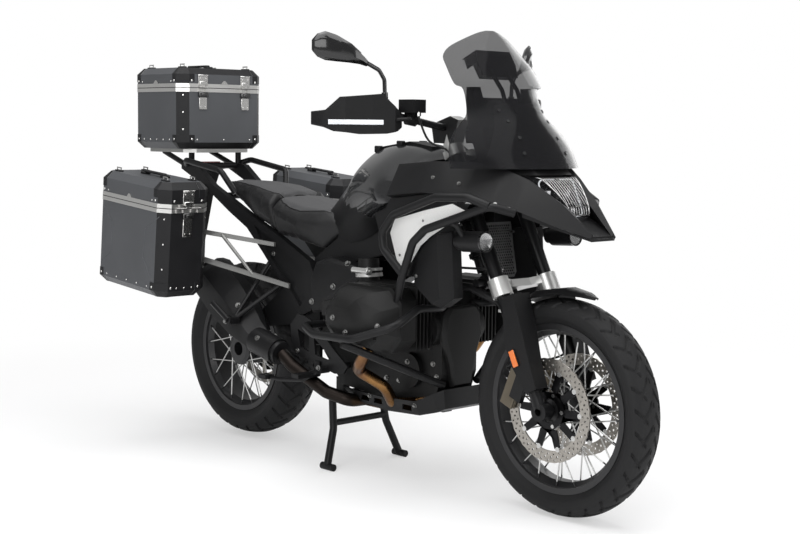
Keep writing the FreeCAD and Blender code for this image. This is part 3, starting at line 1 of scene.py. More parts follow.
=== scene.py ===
"""Looks of the adventure motorcycle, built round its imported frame.

Metres, +X forward, +Y to the rider's left, +Z up. One section a piece, in the order of assembly.
"""
import math

import bmesh
import bpy
import numpy as np
from mathutils import Matrix, Vector
from mathutils.bvhtree import BVHTree


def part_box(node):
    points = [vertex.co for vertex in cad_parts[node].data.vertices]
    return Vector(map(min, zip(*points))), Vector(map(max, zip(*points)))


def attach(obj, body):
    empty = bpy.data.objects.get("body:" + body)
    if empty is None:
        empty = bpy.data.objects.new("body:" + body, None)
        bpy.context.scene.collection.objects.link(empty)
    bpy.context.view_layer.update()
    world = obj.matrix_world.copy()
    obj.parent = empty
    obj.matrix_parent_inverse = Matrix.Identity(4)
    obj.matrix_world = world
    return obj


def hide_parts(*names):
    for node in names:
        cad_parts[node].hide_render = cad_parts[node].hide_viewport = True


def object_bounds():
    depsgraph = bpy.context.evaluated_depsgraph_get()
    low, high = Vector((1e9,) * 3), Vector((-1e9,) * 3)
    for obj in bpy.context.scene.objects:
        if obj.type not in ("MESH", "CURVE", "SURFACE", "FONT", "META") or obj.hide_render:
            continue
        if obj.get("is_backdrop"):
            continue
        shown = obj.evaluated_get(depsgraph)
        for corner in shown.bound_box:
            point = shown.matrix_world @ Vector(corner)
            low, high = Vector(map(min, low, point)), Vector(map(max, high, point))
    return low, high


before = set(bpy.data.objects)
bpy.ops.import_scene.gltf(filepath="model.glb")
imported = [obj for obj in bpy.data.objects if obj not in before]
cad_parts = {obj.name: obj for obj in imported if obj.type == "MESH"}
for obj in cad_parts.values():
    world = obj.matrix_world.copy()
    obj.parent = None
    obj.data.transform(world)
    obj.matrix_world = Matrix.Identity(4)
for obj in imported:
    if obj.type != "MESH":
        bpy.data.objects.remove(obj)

cad_box = [list(corner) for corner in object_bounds()]

# ---------------------------------------------------------------- studio
# A pale seamless floor that fades into a white surround, soft lamps overhead and at the sides,
# and the camera at the front right corner of the motorcycle. None of it is part of the object.
FLOOR_RADIUS = 14.0
FADE_START, FADE_END = 1.5, 3.4
NEAR_GLOW = 0.45
FLOOR_COLOUR, WHITE = (0.93, 0.93, 0.935, 1), (1, 1, 1, 1)
FILL_STRENGTH = 0.4
CAMERA_SPOT = Vector((3.579, -3.237, 1.143))
CAMERA_YAW, CAMERA_PITCH, CAMERA_ROLL = 136.83, -5.49, 0.65
CAMERA_LENS = 64.68


class Reading:
    """A socket in a network of nodes. + - * / and ** with a number or another reading add Math nodes."""

    def __init__(self, net, socket):
        self.net = net
        self.socket = socket

    def _math(self, operation, first, second):
        return self.net.node("ShaderNodeMath", {"operation": operation}, first, second)

    def __add__(self, other):
        return self._math("ADD", self, other)

    def __radd__(self, other):
        return self._math("ADD", other, self)

    def __sub__(self, other):
        return self._math("SUBTRACT", self, other)

    def __rsub__(self, other):
        return self._math("SUBTRACT", other, self)

    def __mul__(self, other):
        return self._math("MULTIPLY", self, other)

    def __rmul__(self, other):
        return self._math("MULTIPLY", other, self)

    def __truediv__(self, other):
        return self._math("DIVIDE", self, other)

    def __pow__(self, other):
        return self._math("POWER", self, other)

    def over(self, limit):
        """1 where the reading is above the limit."""
        return self._math("GREATER_THAN", self, limit)


class Network:
    """The nodes of a material or world. node() adds one: its settings, then its values or links."""

    def __init__(self, owner):
        owner.use_nodes = True
        self.tree = owner.node_tree

    def node(self, kind, settings, *values, out=0, **named):
        node = self.tree.nodes.new(kind)
        for key, value in settings.items():
            if key == "stops":
                ramp = node.color_ramp
                for index, (position, colour) in enumerate(value):
                    stop = ramp.elements[index] if index < 2 else ramp.elements.new(position)
                    stop.position = position
                    stop.color = (*colour, 1)
            else:
                setattr(node, key, value)
        wanted = list(zip(node.inputs, values)) + [(node.inputs[key], value) for key, value in named.items()]
        for socket, value in wanted:
            if isinstance(value, Reading):
                self.tree.links.new(value.socket, socket)
            elif value is not None:
                socket.default_value = value
        return Reading(self, node.outputs[out]) if node.outputs else None

    def seen_directly(self):
        """1 for rays straight from the camera and for those that went through a clear sheet."""
        direct = self.node("ShaderNodeLightPath", {}, out="Is Camera Ray")
        through = self.node("ShaderNodeLightPath", {}, out="Is Transmission Ray")
        return self.node("ShaderNodeMath", {"operation": "MAXIMUM"}, direct, through)


def studio_floor():
    """A disc, radius times (cos, sin) of equal angles, that fades to white away from its middle."""
    angles = np.linspace(0, 2 * math.pi, 96, endpoint=False)
    points = np.stack([FLOOR_RADIUS * np.cos(angles), FLOOR_RADIUS * np.sin(angles), 0 * angles], 1)
    mesh = bpy.data.meshes.new("studio_floor")
    mesh.from_pydata(points.tolist(), [], [list(range(len(angles)))])
    floor = bpy.data.objects.new("studio_floor", mesh)
    bpy.context.collection.objects.link(floor)
    material = bpy.data.materials.new("studio_floor")
    net = Network(material)
    net.tree.nodes.clear()
    place = net.node("ShaderNodeTexCoord", {}, out="Object")
    distance = net.node("ShaderNodeVectorMath", {"operation": "LENGTH"}, place, out="Value")
    fade = net.node(
        "ShaderNodeMapRange", {"interpolation_type": "SMOOTHSTEP"}, distance, FADE_START, FADE_END, NEAR_GLOW)
    matt = net.node("ShaderNodeBsdfDiffuse", {}, FLOOR_COLOUR)
    glow = net.node("ShaderNodeEmission", {}, WHITE)
    blend = net.node("ShaderNodeMixShader", {}, fade * net.seen_directly(), matt, glow)
    net.node("ShaderNodeOutputMaterial", {}, blend)
    mesh.materials.append(material)
    floor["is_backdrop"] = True


def soft_lamp(name, place, width, height, power):
    """An area lamp aimed at the middle of the motorcycle."""
    lamp = bpy.data.lights.new(name, "AREA")
    lamp.shape = "RECTANGLE"
    lamp.size, lamp.size_y = width, height
    lamp.energy = power
    rig = bpy.data.objects.new(name, lamp)
    rig.location = place
    rig.rotation_euler = (Vector((0, 0, 0.6)) - Vector(place)).to_track_quat("-Z", "Y").to_euler()
    bpy.context.collection.objects.link(rig)


def white_surround():
    """World that reads as plain white to the eye and gently fills the shadows."""
    world = bpy.data.worlds.new("surround")
    net = Network(world)
    net.tree.nodes.clear()
    fill = net.node("ShaderNodeBackground", {}, WHITE, FILL_STRENGTH)
    white = net.node("ShaderNodeBackground", {}, WHITE, 1.0)
    blend = net.node("ShaderNodeMixShader", {}, net.seen_directly(), fill, white)
    net.node("ShaderNodeOutputWorld", {}, blend)
    bpy.context.scene.world = world


def main_camera():
    """The camera at its spot: ahead is the direction of yaw and pitch, then it rolls about ahead."""
    yaw, pitch, roll = (math.radians(a) for a in (CAMERA_YAW, CAMERA_PITCH, CAMERA_ROLL))
    ahead = Vector((math.cos(yaw) * math.cos(pitch), math.sin(yaw) * math.cos(pitch), math.sin(pitch)))
    right = Vector((math.sin(yaw), -math.cos(yaw), 0))
    up = right.cross(ahead)
    right, up = right * math.cos(roll) + up * math.sin(roll), up * math.cos(roll) - right * math.sin(roll)
    data = bpy.data.cameras.new("camera")
    data.lens = CAMERA_LENS
    camera = bpy.data.objects.new("camera", data)
    turn = Matrix((right, up, -ahead)).transposed()
    camera.matrix_world = Matrix.Translation(CAMERA_SPOT) @ turn.to_4x4()
    bpy.context.collection.objects.link(camera)
    bpy.context.scene.camera = camera


studio_floor()
white_surround()
main_camera()
soft_lamp("overhead", (0.6, -0.6, 4.2), 4.5, 4.5, 190)
soft_lamp("right_side", (2.2, -4.5, 2.2), 3.0, 2.5, 90)
soft_lamp("front", (5.0, 1.2, 2.0), 2.5, 2.5, 60)
soft_lamp("left_side", (-1.0, 4.5, 2.4), 3.0, 2.5, 60)
bpy.context.scene.view_settings.view_transform = "Standard"

# ---------------------------------------------------------------- tyres
# Road-biased adventure tyres of black rubber, moulded with slanted grooves and a wear band on
# each shoulder. They are worked out on a ring grid and replace the plain carcasses of the frame.
class Finish(Network):
    """A surface material, read on the Object coordinates of the piece that wears it."""

    def __init__(self, name, roughness=0.5, metallic=0.0):
        self.material = bpy.data.materials.new(name)
        super().__init__(self.material)
        self.skin = self.tree.nodes["Principled BSDF"]
        self.skin.inputs["Metallic"].default_value = metallic
        self.skin.inputs["Roughness"].default_value = roughness
        self.place = self.node("ShaderNodeTexCoord", {}, out="Object")

    def set(self, **sockets):
        """Base_Color=..., Coat_Weight=... set or link the sockets of the surface shader."""
        for key, value in sockets.items():
            socket = self.skin.inputs[key.replace("_", " ")]
            if isinstance(value, Reading):
                self.tree.links.new(value.socket, socket)
            else:
                socket.default_value = value
        return self

    def noise(self, scale, detail=3.0, place=None):
        return self.node("ShaderNodeTexNoise", {}, place or self.place, Scale=scale, Detail=detail)

    def tint(self, mask, first, second):
        """The first colour where mask is 0 and the second where it is 1."""
        mix = self.tree.nodes.new("ShaderNodeMix")
        mix.data_type = "RGBA"
        for socket, value in ((mix.inputs[0], mask), (mix.inputs[6], first), (mix.inputs[7], second)):
            if isinstance(value, Reading):
                self.tree.links.new(value.socket, socket)
            elif isinstance(value, (int, float)):
                socket.default_value = value
            else:
                socket.default_value = (*value, 1)
        return Reading(self, mix.outputs[2])

    def bump(self, height, depth, strength=1.0):
        return self.node("ShaderNodeBump", {}, Strength=strength, Distance=depth, Height=height, out="Normal")


def darker(colour, part):
    """The colour times a part, which is above 1 for a paler one."""
    return tuple(c * part for c in colour)


def rubber(name, colour, roughness=0.62):
    """Moulded rubber: dusty patches a little paler and rougher than the rest, and a fine grain."""
    finish = Finish(name)
    cloud = finish.noise(9.0, 5.0)
    grain = finish.noise(900.0, 2.0)
    finish.set(
        Base_Color=finish.tint(cloud, darker(colour, 0.75), darker(colour, 1.3)),
        Roughness=cloud * 0.16 + (roughness - 0.08), Specular_IOR_Level=0.25,
        Normal=finish.bump(grain, 0.0003, 0.6))
    return finish.material


def surface(name, grid, body, material, wrap_u=False):
    """A mesh from a grid of points, u by v by 3; wrapped, it closes on itself along u."""
    rows, columns = grid.shape[:2]
    index = np.arange(rows * columns).reshape(rows, columns)
    if wrap_u:
        index = np.vstack([index, index[:1]])
    quads = np.stack([index[:-1, :-1], index[1:, :-1], index[1:, 1:], index[:-1, 1:]], -1).reshape(-1, 4)
    return piece(name, grid.reshape(-1, 3), quads.tolist(), body, material)


def piece(name, points, faces, body, material, smooth=True):
    """A mesh object of these points and faces, facing outwards, riding on its body."""
    mesh = bpy.data.meshes.new(name)
    mesh.from_pydata(np.asarray(points, float).tolist(), [], faces)
    mesh.validate()
    made = bpy.data.objects.new(name, mesh)
    bpy.context.collection.objects.link(made)
    mesh.materials.append(material)
    if smooth:
        mesh.shade_smooth()
        mesh.set_sharp_from_angle(angle=math.radians(38))
    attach(made, body)
    return made


GROOVE_DEPTH, TREAD_STEPS = 0.0055, 900


def tread_grid(node, rim_radius, bead, groove_rows, repeats):
    """Ring grid: u runs round the wheel, v across the section from bead to bead.

    The section's radius is the crown radius less a rounded shoulder, and grooves are cut where a
    slanted triangle wave of u and v passes its limit.
    """
    low, high = (np.array(corner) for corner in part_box(node))
    centre = (low + high) / 2
    crown = (high[2] - low[2]) / 2
    half = (high[1] - low[1]) / 2
    height = crown - rim_radius
    # columns: part of the height, half width
    table = np.array([
        [0.0, bead], [0.10, bead], [0.20, bead + 0.30 * (half - bead)], [0.36, bead + 0.85 * (half - bead)],
        [0.50, half * 0.996], [0.60, half * 0.985], [0.68, half * 0.955], [0.78, half * 0.85],
        [0.86, half * 0.70], [0.925, half * 0.50], [0.968, half * 0.30], [0.992, half * 0.12], [1.0, 0.0]])
    fine = 64
    t = np.linspace(0, len(table) - 1, fine)
    part = np.interp(t, np.arange(len(table)), table[:, 0])
    wide = np.interp(t, np.arange(len(table)), table[:, 1])
    radius = rim_radius + part * height
    radius = np.concatenate([radius, radius[-2::-1]])
    across = np.concatenate([wide, -wide[-2::-1]])
    around = np.linspace(0, 2 * math.pi, TREAD_STEPS, endpoint=False)
    u, v = np.meshgrid(around, np.arange(len(across)), indexing="ij")
    width = across[v] / half
    depth = np.zeros_like(u)
    for inner, outer, slant, share, shift in groove_rows:
        side_turn = np.where(width > 0, shift, shift + 0.5)
        wave = (u / (2 * math.pi) * repeats + slant * np.abs(width) + side_turn) % 1.0
        inside = (np.abs(width) > inner) & (np.abs(width) < outer)
        ramp = np.clip((share / 2 - np.abs(wave - 0.5)) * 30, 0, 1)
        edge = np.clip((np.abs(width) - inner) * 40, 0, 1) * np.clip((outer - np.abs(width)) * 40, 0, 1)
        on_tread = radius[v] > rim_radius + 0.66 * height
        depth = np.maximum(depth, ramp * edge * inside * on_tread)
    r = radius[v] - depth * GROOVE_DEPTH
    sideways = across[v] - np.sign(across[v]) * depth * 0.002 * (np.abs(width) > 0.8)
    return np.stack([
        centre[0] + r * np.cos(u), centre[1] + sideways, centre[2] + r * np.sin(u)], -1)


FRONT_RIM_R, REAR_RIM_R = 0.2413, 0.2159
tyre_rubber = rubber("tyre_rubber", (0.0095, 0.0095, 0.010))
# columns of a groove row: inner and outer edge as parts of the half width, slant, share, shift
front_tread = tread_grid(
    "front_tyre", FRONT_RIM_R, 0.040,
    [(0.08, 0.62, 1.35, 0.30, 0.0), (0.36, 0.93, -1.1, 0.20, 0.35), (-1, 0.03, 0.4, 0.24, 0.2)], 30)
rear_tread = tread_grid(
    "rear_tyre", REAR_RIM_R, 0.062,
    [(0.07, 0.60, 1.35, 0.28, 0.0), (0.34, 0.95, -1.0, 0.20, 0.35), (-1, 0.03, 0.4, 0.24, 0.2)], 30)
for node, body, grid in (("front_tyre", "front_wheel", front_tread), ("rear_tyre", "rear_wheel", rear_tread)):
    made = surface(node + "_tread", grid, body, tyre_rubber, wrap_u=True)
    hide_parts(node)

# ---------------------------------------------------------------- rims, spokes and hubs
# Black anodised drop-centre rims laced to black hubs with forty bright steel spokes each. Rim, hub
# and spokes are one welded piece in the frame, so the finish tells them apart by the distance from
# the axle: bright between hub flange and rim well, black elsewhere.
def middle(node):
    """Centre of a node's box."""
    low, high = (np.array(corner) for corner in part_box(node))
    return (low + high) / 2


def wheel_finish(name, node, hub_radius, well_radius):
    """Steel where the distance from the axle lies between the two radii, black coat outside them."""
    finish = Finish(name)
    centre = middle(node)
    out = finish.node(
        "ShaderNodeVectorMath", {"operation": "SUBTRACT"}, finish.place, tuple(centre), out="Vector")
    flat = finish.node("ShaderNodeVectorMath", {"operation": "MULTIPLY"}, out, (1, 0, 1), out="Vector")
    distance = finish.node("ShaderNodeVectorMath", {"operation": "LENGTH"}, flat, out="Value")
    bright = distance.over(hub_radius) * (1 - distance.over(well_radius))
    grain = finish.noise(260.0, 3.0)
    finish.set(
        Base_Color=finish.tint(bright, (0.013, 0.013, 0.014), (0.60, 0.60, 0.59)),
        Metallic=bright * 0.9 + 0.1,
        Roughness=0.34 - bright * 0.06 + grain * 0.08,
        Normal=finish.bump(grain, 0.0002, 0.3))
    return finish.material


def dress(node, material):
    """Puts a finish on a frame node that is shown as it is."""
    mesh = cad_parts[node].data
    mesh.materials.clear()
    mesh.materials.append(material)


dress("front_wheel_rim", wheel_finish("front_wheel_coat", "front_tyre", 0.051, FRONT_RIM_R - 0.0235))
dress("rear_wheel_rim", wheel_finish("rear_wheel_coat", "rear_tyre", 0.0605, REAR_RIM_R - 0.0235))

# ---------------------------------------------------------------- brake discs
# Ground steel rings drilled in three staggered rows, on black cast carriers held by bright
# bobbins. Each ring is a flat filled outline with round holes, given its thickness by extrusion.
def ground_steel(name, colour):
    """Brake track: a cloud of paler and darker patches, darker towards brown."""
    finish = Finish(name, metallic=1.0)
    streaks = finish.noise(60.0, 6.0)
    fine = finish.noise(700.0, 2.0)
    finish.set(
        Base_Color=finish.tint(streaks, darker(colour, 0.7), darker(colour, 1.2)),
        Roughness=fine * 0.15 + 0.24,
        Normal=finish.bump(fine, 0.0001, 0.4))
    return finish.material


def circle(radius, sides, centre=(0, 0)):
    """Corners of a regular polygon round the centre, one (x, z) a row."""
    angles = np.linspace(0, 2 * math.pi, sides, endpoint=False)
    return np.stack([centre[0] + radius * np.cos(angles), centre[1] + radius * np.sin(angles)], 1)


def flat_plate(name, outlines, thickness, place, body, material):
    """Closed outlines filled, holes left open, extruded to a thickness and put in place by a matrix."""
    curve = bpy.data.curves.new(name, "CURVE")
    curve.dimensions = "2D"
    curve.fill_mode = "BOTH"
    curve.extrude = thickness / 2
    for outline in outlines:
        spline = curve.splines.new("POLY")
        spline.points.add(len(outline) - 1)
        corners = np.column_stack([outline, np.zeros(len(outline)), np.ones(len(outline))])
        spline.points.foreach_set("co", corners.ravel())
        spline.use_cyclic_u = True
    drawn = bpy.data.objects.new(name + "_drawn", curve)
    mesh = bpy.data.meshes.new_from_object(drawn)
    bpy.data.objects.remove(drawn)
    mesh.name = name
    mesh.transform(place)
    mesh.materials.clear()
    mesh.materials.append(material)
    made = bpy.data.objects.new(name, mesh)
    bpy.context.collection.objects.link(made)
    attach(made, body)
    return made


def upright(centre):
    """Matrix that stands a drawing up in the XZ plane at a centre."""
    return Matrix.Translation(Vector(centre)) @ Matrix.Rotation(math.radians(90), 4, "X")


def holes(radius, count, size, turn=0.0):
    """A ring of round holes."""
    angles = np.linspace(0, 2 * math.pi, count, endpoint=False) + turn
    return [circle(size, 10, (radius * math.cos(a), radius * math.sin(a))) for a in angles]


def scalloped(radius, wave, count, sides):
    """Circle whose radius swings by wave, count times a turn."""
    angles = np.linspace(0, 2 * math.pi, sides, endpoint=False)
    r = radius + wave * np.cos(count * angles)
    return np.stack([r * np.cos(angles), r * np.sin(angles)], 1)


def joined(name, parts, body, material, smooth=True):
    """One piece made of many (points, faces) parts."""
    points, faces, start = [], [], 0
    for corners, loops in parts:
        points.append(np.asarray(corners, float))
        faces += [[start + i for i in loop] for loop in loops]
        start += len(corners)
    return piece(name, np.vstack(points), faces, body, material, smooth)


def drum(start, end, radius, sides=20, bore=0.0, chamfer=0.0):
    """Round bar from start to end, with chamfered rims; with a bore it is a sleeve."""
    start, end = np.array(start, float), np.array(end, float)
    axis = (end - start) / np.linalg.norm(end - start)
    side = np.cross(axis, (0, 0, 1) if abs(axis[2]) < 0.9 else (1, 0, 0))
    side /= np.linalg.norm(side)
    other = np.cross(axis, side)
    length = np.linalg.norm(end - start)
    rings = [(0, radius - chamfer), (chamfer, radius), (length - chamfer, radius), (length, radius - chamfer)]
    if chamfer == 0:
        rings = [(0, radius), (length, radius)]
    if bore:
        rings = rings + [(length, bore), (0, bore)]
    angles = np.linspace(0, 2 * math.pi, sides, endpoint=False)
    round_axis = np.outer(np.cos(angles), side) + np.outer(np.sin(angles), other)
    loops = [start + axis * along + r * round_axis for along, r in rings]
    count = len(rings)
    faces = []
    last = count if bore else count - 1
    for k in range(last):
        a, b = k * sides, ((k + 1) % count) * sides
        faces += [[a + i, b + i, b + (i + 1) % sides, a + (i + 1) % sides] for i in range(sides)]
    if not bore:
        faces += [list(range(sides)), list(range((count - 1) * sides, count * sides))[::-1]]
    return np.vstack(loops), [loop[::-1] for loop in faces]


def bright_metal(name, colour, roughness=0.3):
    """Bare or zinc-plated metal with faint brushing along X and small scuffs."""
    finish = Finish(name, metallic=1.0)
    stretch = finish.node("ShaderNodeMapping", {}, finish.place, Scale=(40.0, 900.0, 900.0), out="Vector")
    brushed = finish.noise(1.0, 2.0, stretch)
    scuffs = finish.noise(45.0, 6.0)
    finish.set(
        Base_Color=finish.tint(scuffs, darker(colour, 0.82), darker(colour, 1.08)),
        Roughness=roughness - 0.06 + brushed * 0.12,
        Normal=finish.bump(brushed, 0.0001, 0.35))
    return finish.material


disc_steel = ground_steel("brake_disc_steel", (0.36, 0.34, 0.31))
carrier_metal = ground_steel("disc_carrier_coat", (0.022, 0.022, 0.023))

bolt_steel = bright_metal("bolt_steel", (0.55, 0.55, 0.54), 0.28)
wheels = {"front": middle("front_tyre"), "rear": middle("rear_tyre")}
disc_low, disc_high = (np.array(c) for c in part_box("front_brake_discs"))
DISC_RADIUS = (disc_high[2] - disc_low[2]) / 2
DISC_THICK = 0.005
BOBBIN_RING, BOLT_RING, BOBBIN_HALF = 0.1165, 0.048, 0.0026
for side, label in ((1, "left"), (-1, "right")):
    face = side * (disc_high[1] - DISC_THICK / 2)
    hub = (wheels["front"][0], face, wheels["front"][2])
    outlines = [scalloped(DISC_RADIUS - 0.0008, 0.0008, 36, 216), circle(DISC_RADIUS - 0.036, 72)]
    for row, (inset, size) in enumerate(((0.008, 0.0032), (0.0175, 0.0038), (0.027, 0.0032))):
        outlines += holes(DISC_RADIUS - inset, 36, size, math.radians(5 * row))
    flat_plate(
        f"front_disc_{label}", outlines, DISC_THICK, upright(hub), "front_wheel", disc_steel)
    # the carrier: a ring with ten blocky arms whose ends carry the bobbins
    arms = []
    for k in range(10):
        a = 2 * math.pi * k / 10
        for r, half in ((0.062, 0.0125), (0.1125, 0.0105), (0.1125, -0.0105), (0.062, -0.0125)):
            arms.append((r * math.cos(a) - half * math.sin(a), r * math.sin(a) + half * math.cos(a)))
    flat_plate(
        f"front_disc_carrier_{label}", [np.array(arms), circle(0.036, 48)] + holes(BOLT_RING, 5, 0.004),
        0.0046, upright(hub), "front_wheel", carrier_metal)
    bobbins = []
    for reach, count, radius, sides in ((BOBBIN_RING, 10, 0.0078, 14), (BOLT_RING, 5, 0.0062, 6)):
        for a in np.linspace(0, 2 * math.pi, count, endpoint=False):
            x, z = hub[0] + reach * math.cos(a), hub[2] + reach * math.sin(a)
            bobbins.append(drum((x, face - BOBBIN_HALF, z), (x, face + BOBBIN_HALF, z), radius, sides))
    joined(f"front_disc_bobbins_{label}", bobbins, "front_wheel", bolt_steel)
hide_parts("front_brake_discs")

# ---------------------------------------------------------------- fork, bridge and front strut
# Black stanchions and cast sliders, tied by a blasted aluminium bridge. The wishbone arm and its
# strut carry the load behind them. All are frame nodes with rounded edges.
WELD, EDGE_ANGLE = 1e-5, math.radians(32)


def softened(node, body, material, width, segments=2):
    """A copy of a frame node, its facets merged into faces and its edges rounded; stands for the node."""
    made = bpy.data.objects.new(node + "_body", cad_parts[node].data.copy())
    bpy.context.collection.objects.link(made)
    shell = bmesh.new()
    shell.from_mesh(made.data)
    bmesh.ops.remove_doubles(shell, verts=shell.verts, dist=WELD)
    bmesh.ops.dissolve_limit(shell, angle_limit=math.radians(0.7), verts=shell.verts, edges=shell.edges)
    shell.to_mesh(made.data)
    shell.free()
    made.data.materials.clear()
    made.data.materials.append(material)
    made.data.shade_smooth()
    made.data.set_sharp_from_angle(angle=EDGE_ANGLE)
    rounding = made.modifiers.new("rounding", "BEVEL")
    rounding.width = width
    rounding.segments = segments
    rounding.limit_method = "ANGLE"
    rounding.angle_limit = EDGE_ANGLE
    rounding.harden_normals = True
    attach(made, body)
    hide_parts(node)
    return made


def powder_coat(name, colour, roughness=0.5, texture=1.0, metallic=0.0):
    """Fine-textured powder paint: orange-peel bump, a faint cloud in the colour and rubbed patches."""
    finish = Finish(name, metallic=metallic)
    cloud = finish.noise(6.0, 4.0)
    peel = finish.noise(1100.0, 2.0)
    finish.set(
        Base_Color=finish.tint(cloud, darker(colour, 0.85), darker(colour, 1.18)), Specular_IOR_Level=0.22,
        Roughness=roughness - 0.05 + cloud * 0.10,
        Normal=finish.bump(peel, 0.0002 * texture, 0.5))
    return finish.material


def moulded_plastic(name, colour, roughness=0.5, grain=1.0):
    """Injection-moulded plastic with a spark-eroded grain and a few paler rubbed patches."""
    finish = Finish(name)
    rubbed = finish.noise(14.0, 6.0)
    eroded = finish.node("ShaderNodeTexVoronoi", {}, finish.place, Scale=1500.0, out="Distance")
    finish.set(
        Base_Color=finish.tint(rubbed, darker(colour, 0.85), darker(colour, 1.25)), Specular_IOR_Level=0.2,
        Roughness=roughness - 0.05 + rubbed * 0.12,
        Normal=finish.bump(eroded, 0.00025 * grain, 0.5))
    return finish.material


def gloss_paint(name, colour, flake=0.0, roughness=0.22, metallic=0.0):
    """Lacquered paint: metallic flake under a clear coat with a slight ripple."""
    finish = Finish(name, metallic=metallic)
    sparkle = finish.node("ShaderNodeTexVoronoi", {}, finish.place, Scale=1400.0, out="Distance")
    ripple = finish.noise(22.0, 2.0)
    bright = sparkle.over(0.42) * flake
    finish.set(
        Base_Color=finish.tint(bright, colour, darker(colour, 3.2)),
        Roughness=roughness + ripple * 0.06,
        Coat_Weight=0.7, Coat_Roughness=0.04, Specular_IOR_Level=0.25,
        Normal=finish.bump(ripple, 0.0006, 0.15))
    return finish.material


black_powder = powder_coat("black_powder", (0.007, 0.007, 0.0075), 0.40)
slider_coat = powder_coat("slider_coat", (0.006, 0.006, 0.0065), 0.34)
gloss_black = gloss_paint("gloss_black", (0.004, 0.004, 0.0045), roughness=0.16)
blasted_silver = powder_coat("blasted_silver", (0.56, 0.56, 0.55), 0.36, metallic=0.85)
black_plastic = moulded_plastic("black_plastic", (0.0065, 0.0065, 0.007), 0.46)
softened("fork_legs", "steering", slider_coat, 0.0012)
softened("fork_bridge", "steering", blasted_silver, 0.002)
softened("front_suspension_arm", "frame", black_powder, 0.002)
softened("front_strut", "frame", black_powder, 0.001)

# ---------------------------------------------------------------- handlebar and controls
# Tapered black bar in silver clamps on the upper yoke, with grips, switch housings, reservoirs and
# levers of black plastic, hand guards, mirrors on stalks and the front mudguard. All are frame
# nodes with rounded edges.
MIDWAY = 93.25  # from the frame's origin forward to midway between the axles, in millimetres


def spot(x, y, z):
    """Millimetres, x from midway between the axles, in the frame's metres."""
    return Vector(((x + MIDWAY) / 1000, y / 1000, z / 1000))


def also_coated(made, material, is_coated):
    """Gives a piece a second finish on the faces for which is_coated(face) holds."""
    made.data.materials.append(material)
    for face in made.data.polygons:
        face.material_index = int(is_coated(face))


bars = softened("handlebar", "steering", black_powder, 0.0015)
BAR_SPOT, BAR_RADIUS, CLAMP_HALF = spot(328, 0, 1150), 0.0135, 0.150
also_coated(bars, blasted_silver, lambda face: abs(face.center.y) < CLAMP_HALF and math.hypot(
    face.center.x - BAR_SPOT.x, face.center.z - BAR_SPOT.z) > BAR_RADIUS)
softened("hand_controls", "steering", black_plastic, 0.0025)
softened("hand_guards", "steering", black_plastic, 0.004)
mirrors = softened("mirrors", "steering", gloss_black, 0.006, segments=3)
mirror_glass = Finish("mirror_glass", 0.03, 1.0).set(Base_Color=(0.86, 0.87, 0.88, 1)).material
also_coated(mirrors, mirror_glass, lambda face: face.normal.x < -0.8 and face.area > 0.004)
softened("front_mudguard", "steering", black_plastic, 0.0015)

# ---------------------------------------------------------------- front calipers
# Four-piston radial calipers of cast aluminium, hard anodised to a greyish gold and bolted to the
# lugs of the sliders. They are the frame's own blocks with rounded edges.
caliper_gold = powder_coat("caliper_gold", (0.13, 0.112, 0.085), 0.38, metallic=0.7)
softened("front_calipers", "steering", caliper_gold, 0.003)

# ---------------------------------------------------------------- bodywork
# Steel tank in nearly black metallic lacquer with a black cover along its top, satin silver side
# panels, and black moulded fairings. The tank's skin is worked out from seven half-sections; the
# rest are the frame's own shells with rounded edges.
tank_lacquer = gloss_paint("tank_lacquer", (0.0075, 0.0078, 0.0085), 0.4, 0.2, 0.2)
satin_silver = gloss_paint("satin_silver", (0.66, 0.66, 0.65), 0.1, 0.42)
MILLIMETRES = Matrix.Translation(spot(0, 0, 0)) @ Matrix.Scale(0.001, 4)
MIRRORED = MILLIMETRES @ Matrix.Diagonal((1, -1, 1, 1))
TANK_HALF = 236
# columns: x, then y and z down the left side from the middle of the top
TANK = [
    (-262, (0, 872), (40, 866), (70, 835), (78, 790), (70, 742)),
    (-190, (0, 944), (46, 932), (88, 880), (98, 820), (80, 745)),
    (-100, (0, 1020), (60, 1004), (126, 930), (132, 850), (96, 765)),
    (-20, (0, 1080), (68, 1062), (156, 985), (156, 868), (100, 785)),
    (110, (0, 1098), (92, 1078), (205, 1000), (200, 890), (104, 850)),
    (220, (0, 1082), (100, 1060), (236, 985), (236, 915), (106, 900)),
    (268, (0, 1052), (100, 1040), (236, 984), (238, 922), (106, 918))]


def eased(points, steps=8):
    """A curve through the points: each span is the Catmull-Rom cubic of its four nearest points."""
    points = np.asarray(points, float)
    padded = np.concatenate([2 * points[:1] - points[1:2], points, 2 * points[-1:] - points[-2:-1]])
    t = (np.arange(steps) / steps).reshape(-1, *([1] * (points.ndim - 1)))
    spans = []
    for a, b, c, d in zip(padded, padded[1:], padded[2:], padded[3:]):
        square, cube = 2 * a - 5 * b + 4 * c - d, 3 * b - a - 3 * c + d
        spans.append(0.5 * (2 * b + (c - a) * t + square * t ** 2 + cube * t ** 3))
    return np.concatenate(spans + [points[-1:]])


def hull(points):
    """The convex body round these points."""
    shell = bmesh.new()
    for point in points:
        shell.verts.new(point)
    bmesh.ops.convex_hull(shell, input=shell.verts)
    bmesh.ops.dissolve_limit(shell, angle_limit=0.01, verts=shell.verts, edges=shell.edges)
    bmesh.ops.delete(shell, geom=[v for v in shell.verts if not v.link_faces], context="VERTS")
    shell.verts.index_update()
    made = ([tuple(v.co) for v in shell.verts], [[v.index for v in f.verts] for f in shell.faces])
    shell.free()
    return made


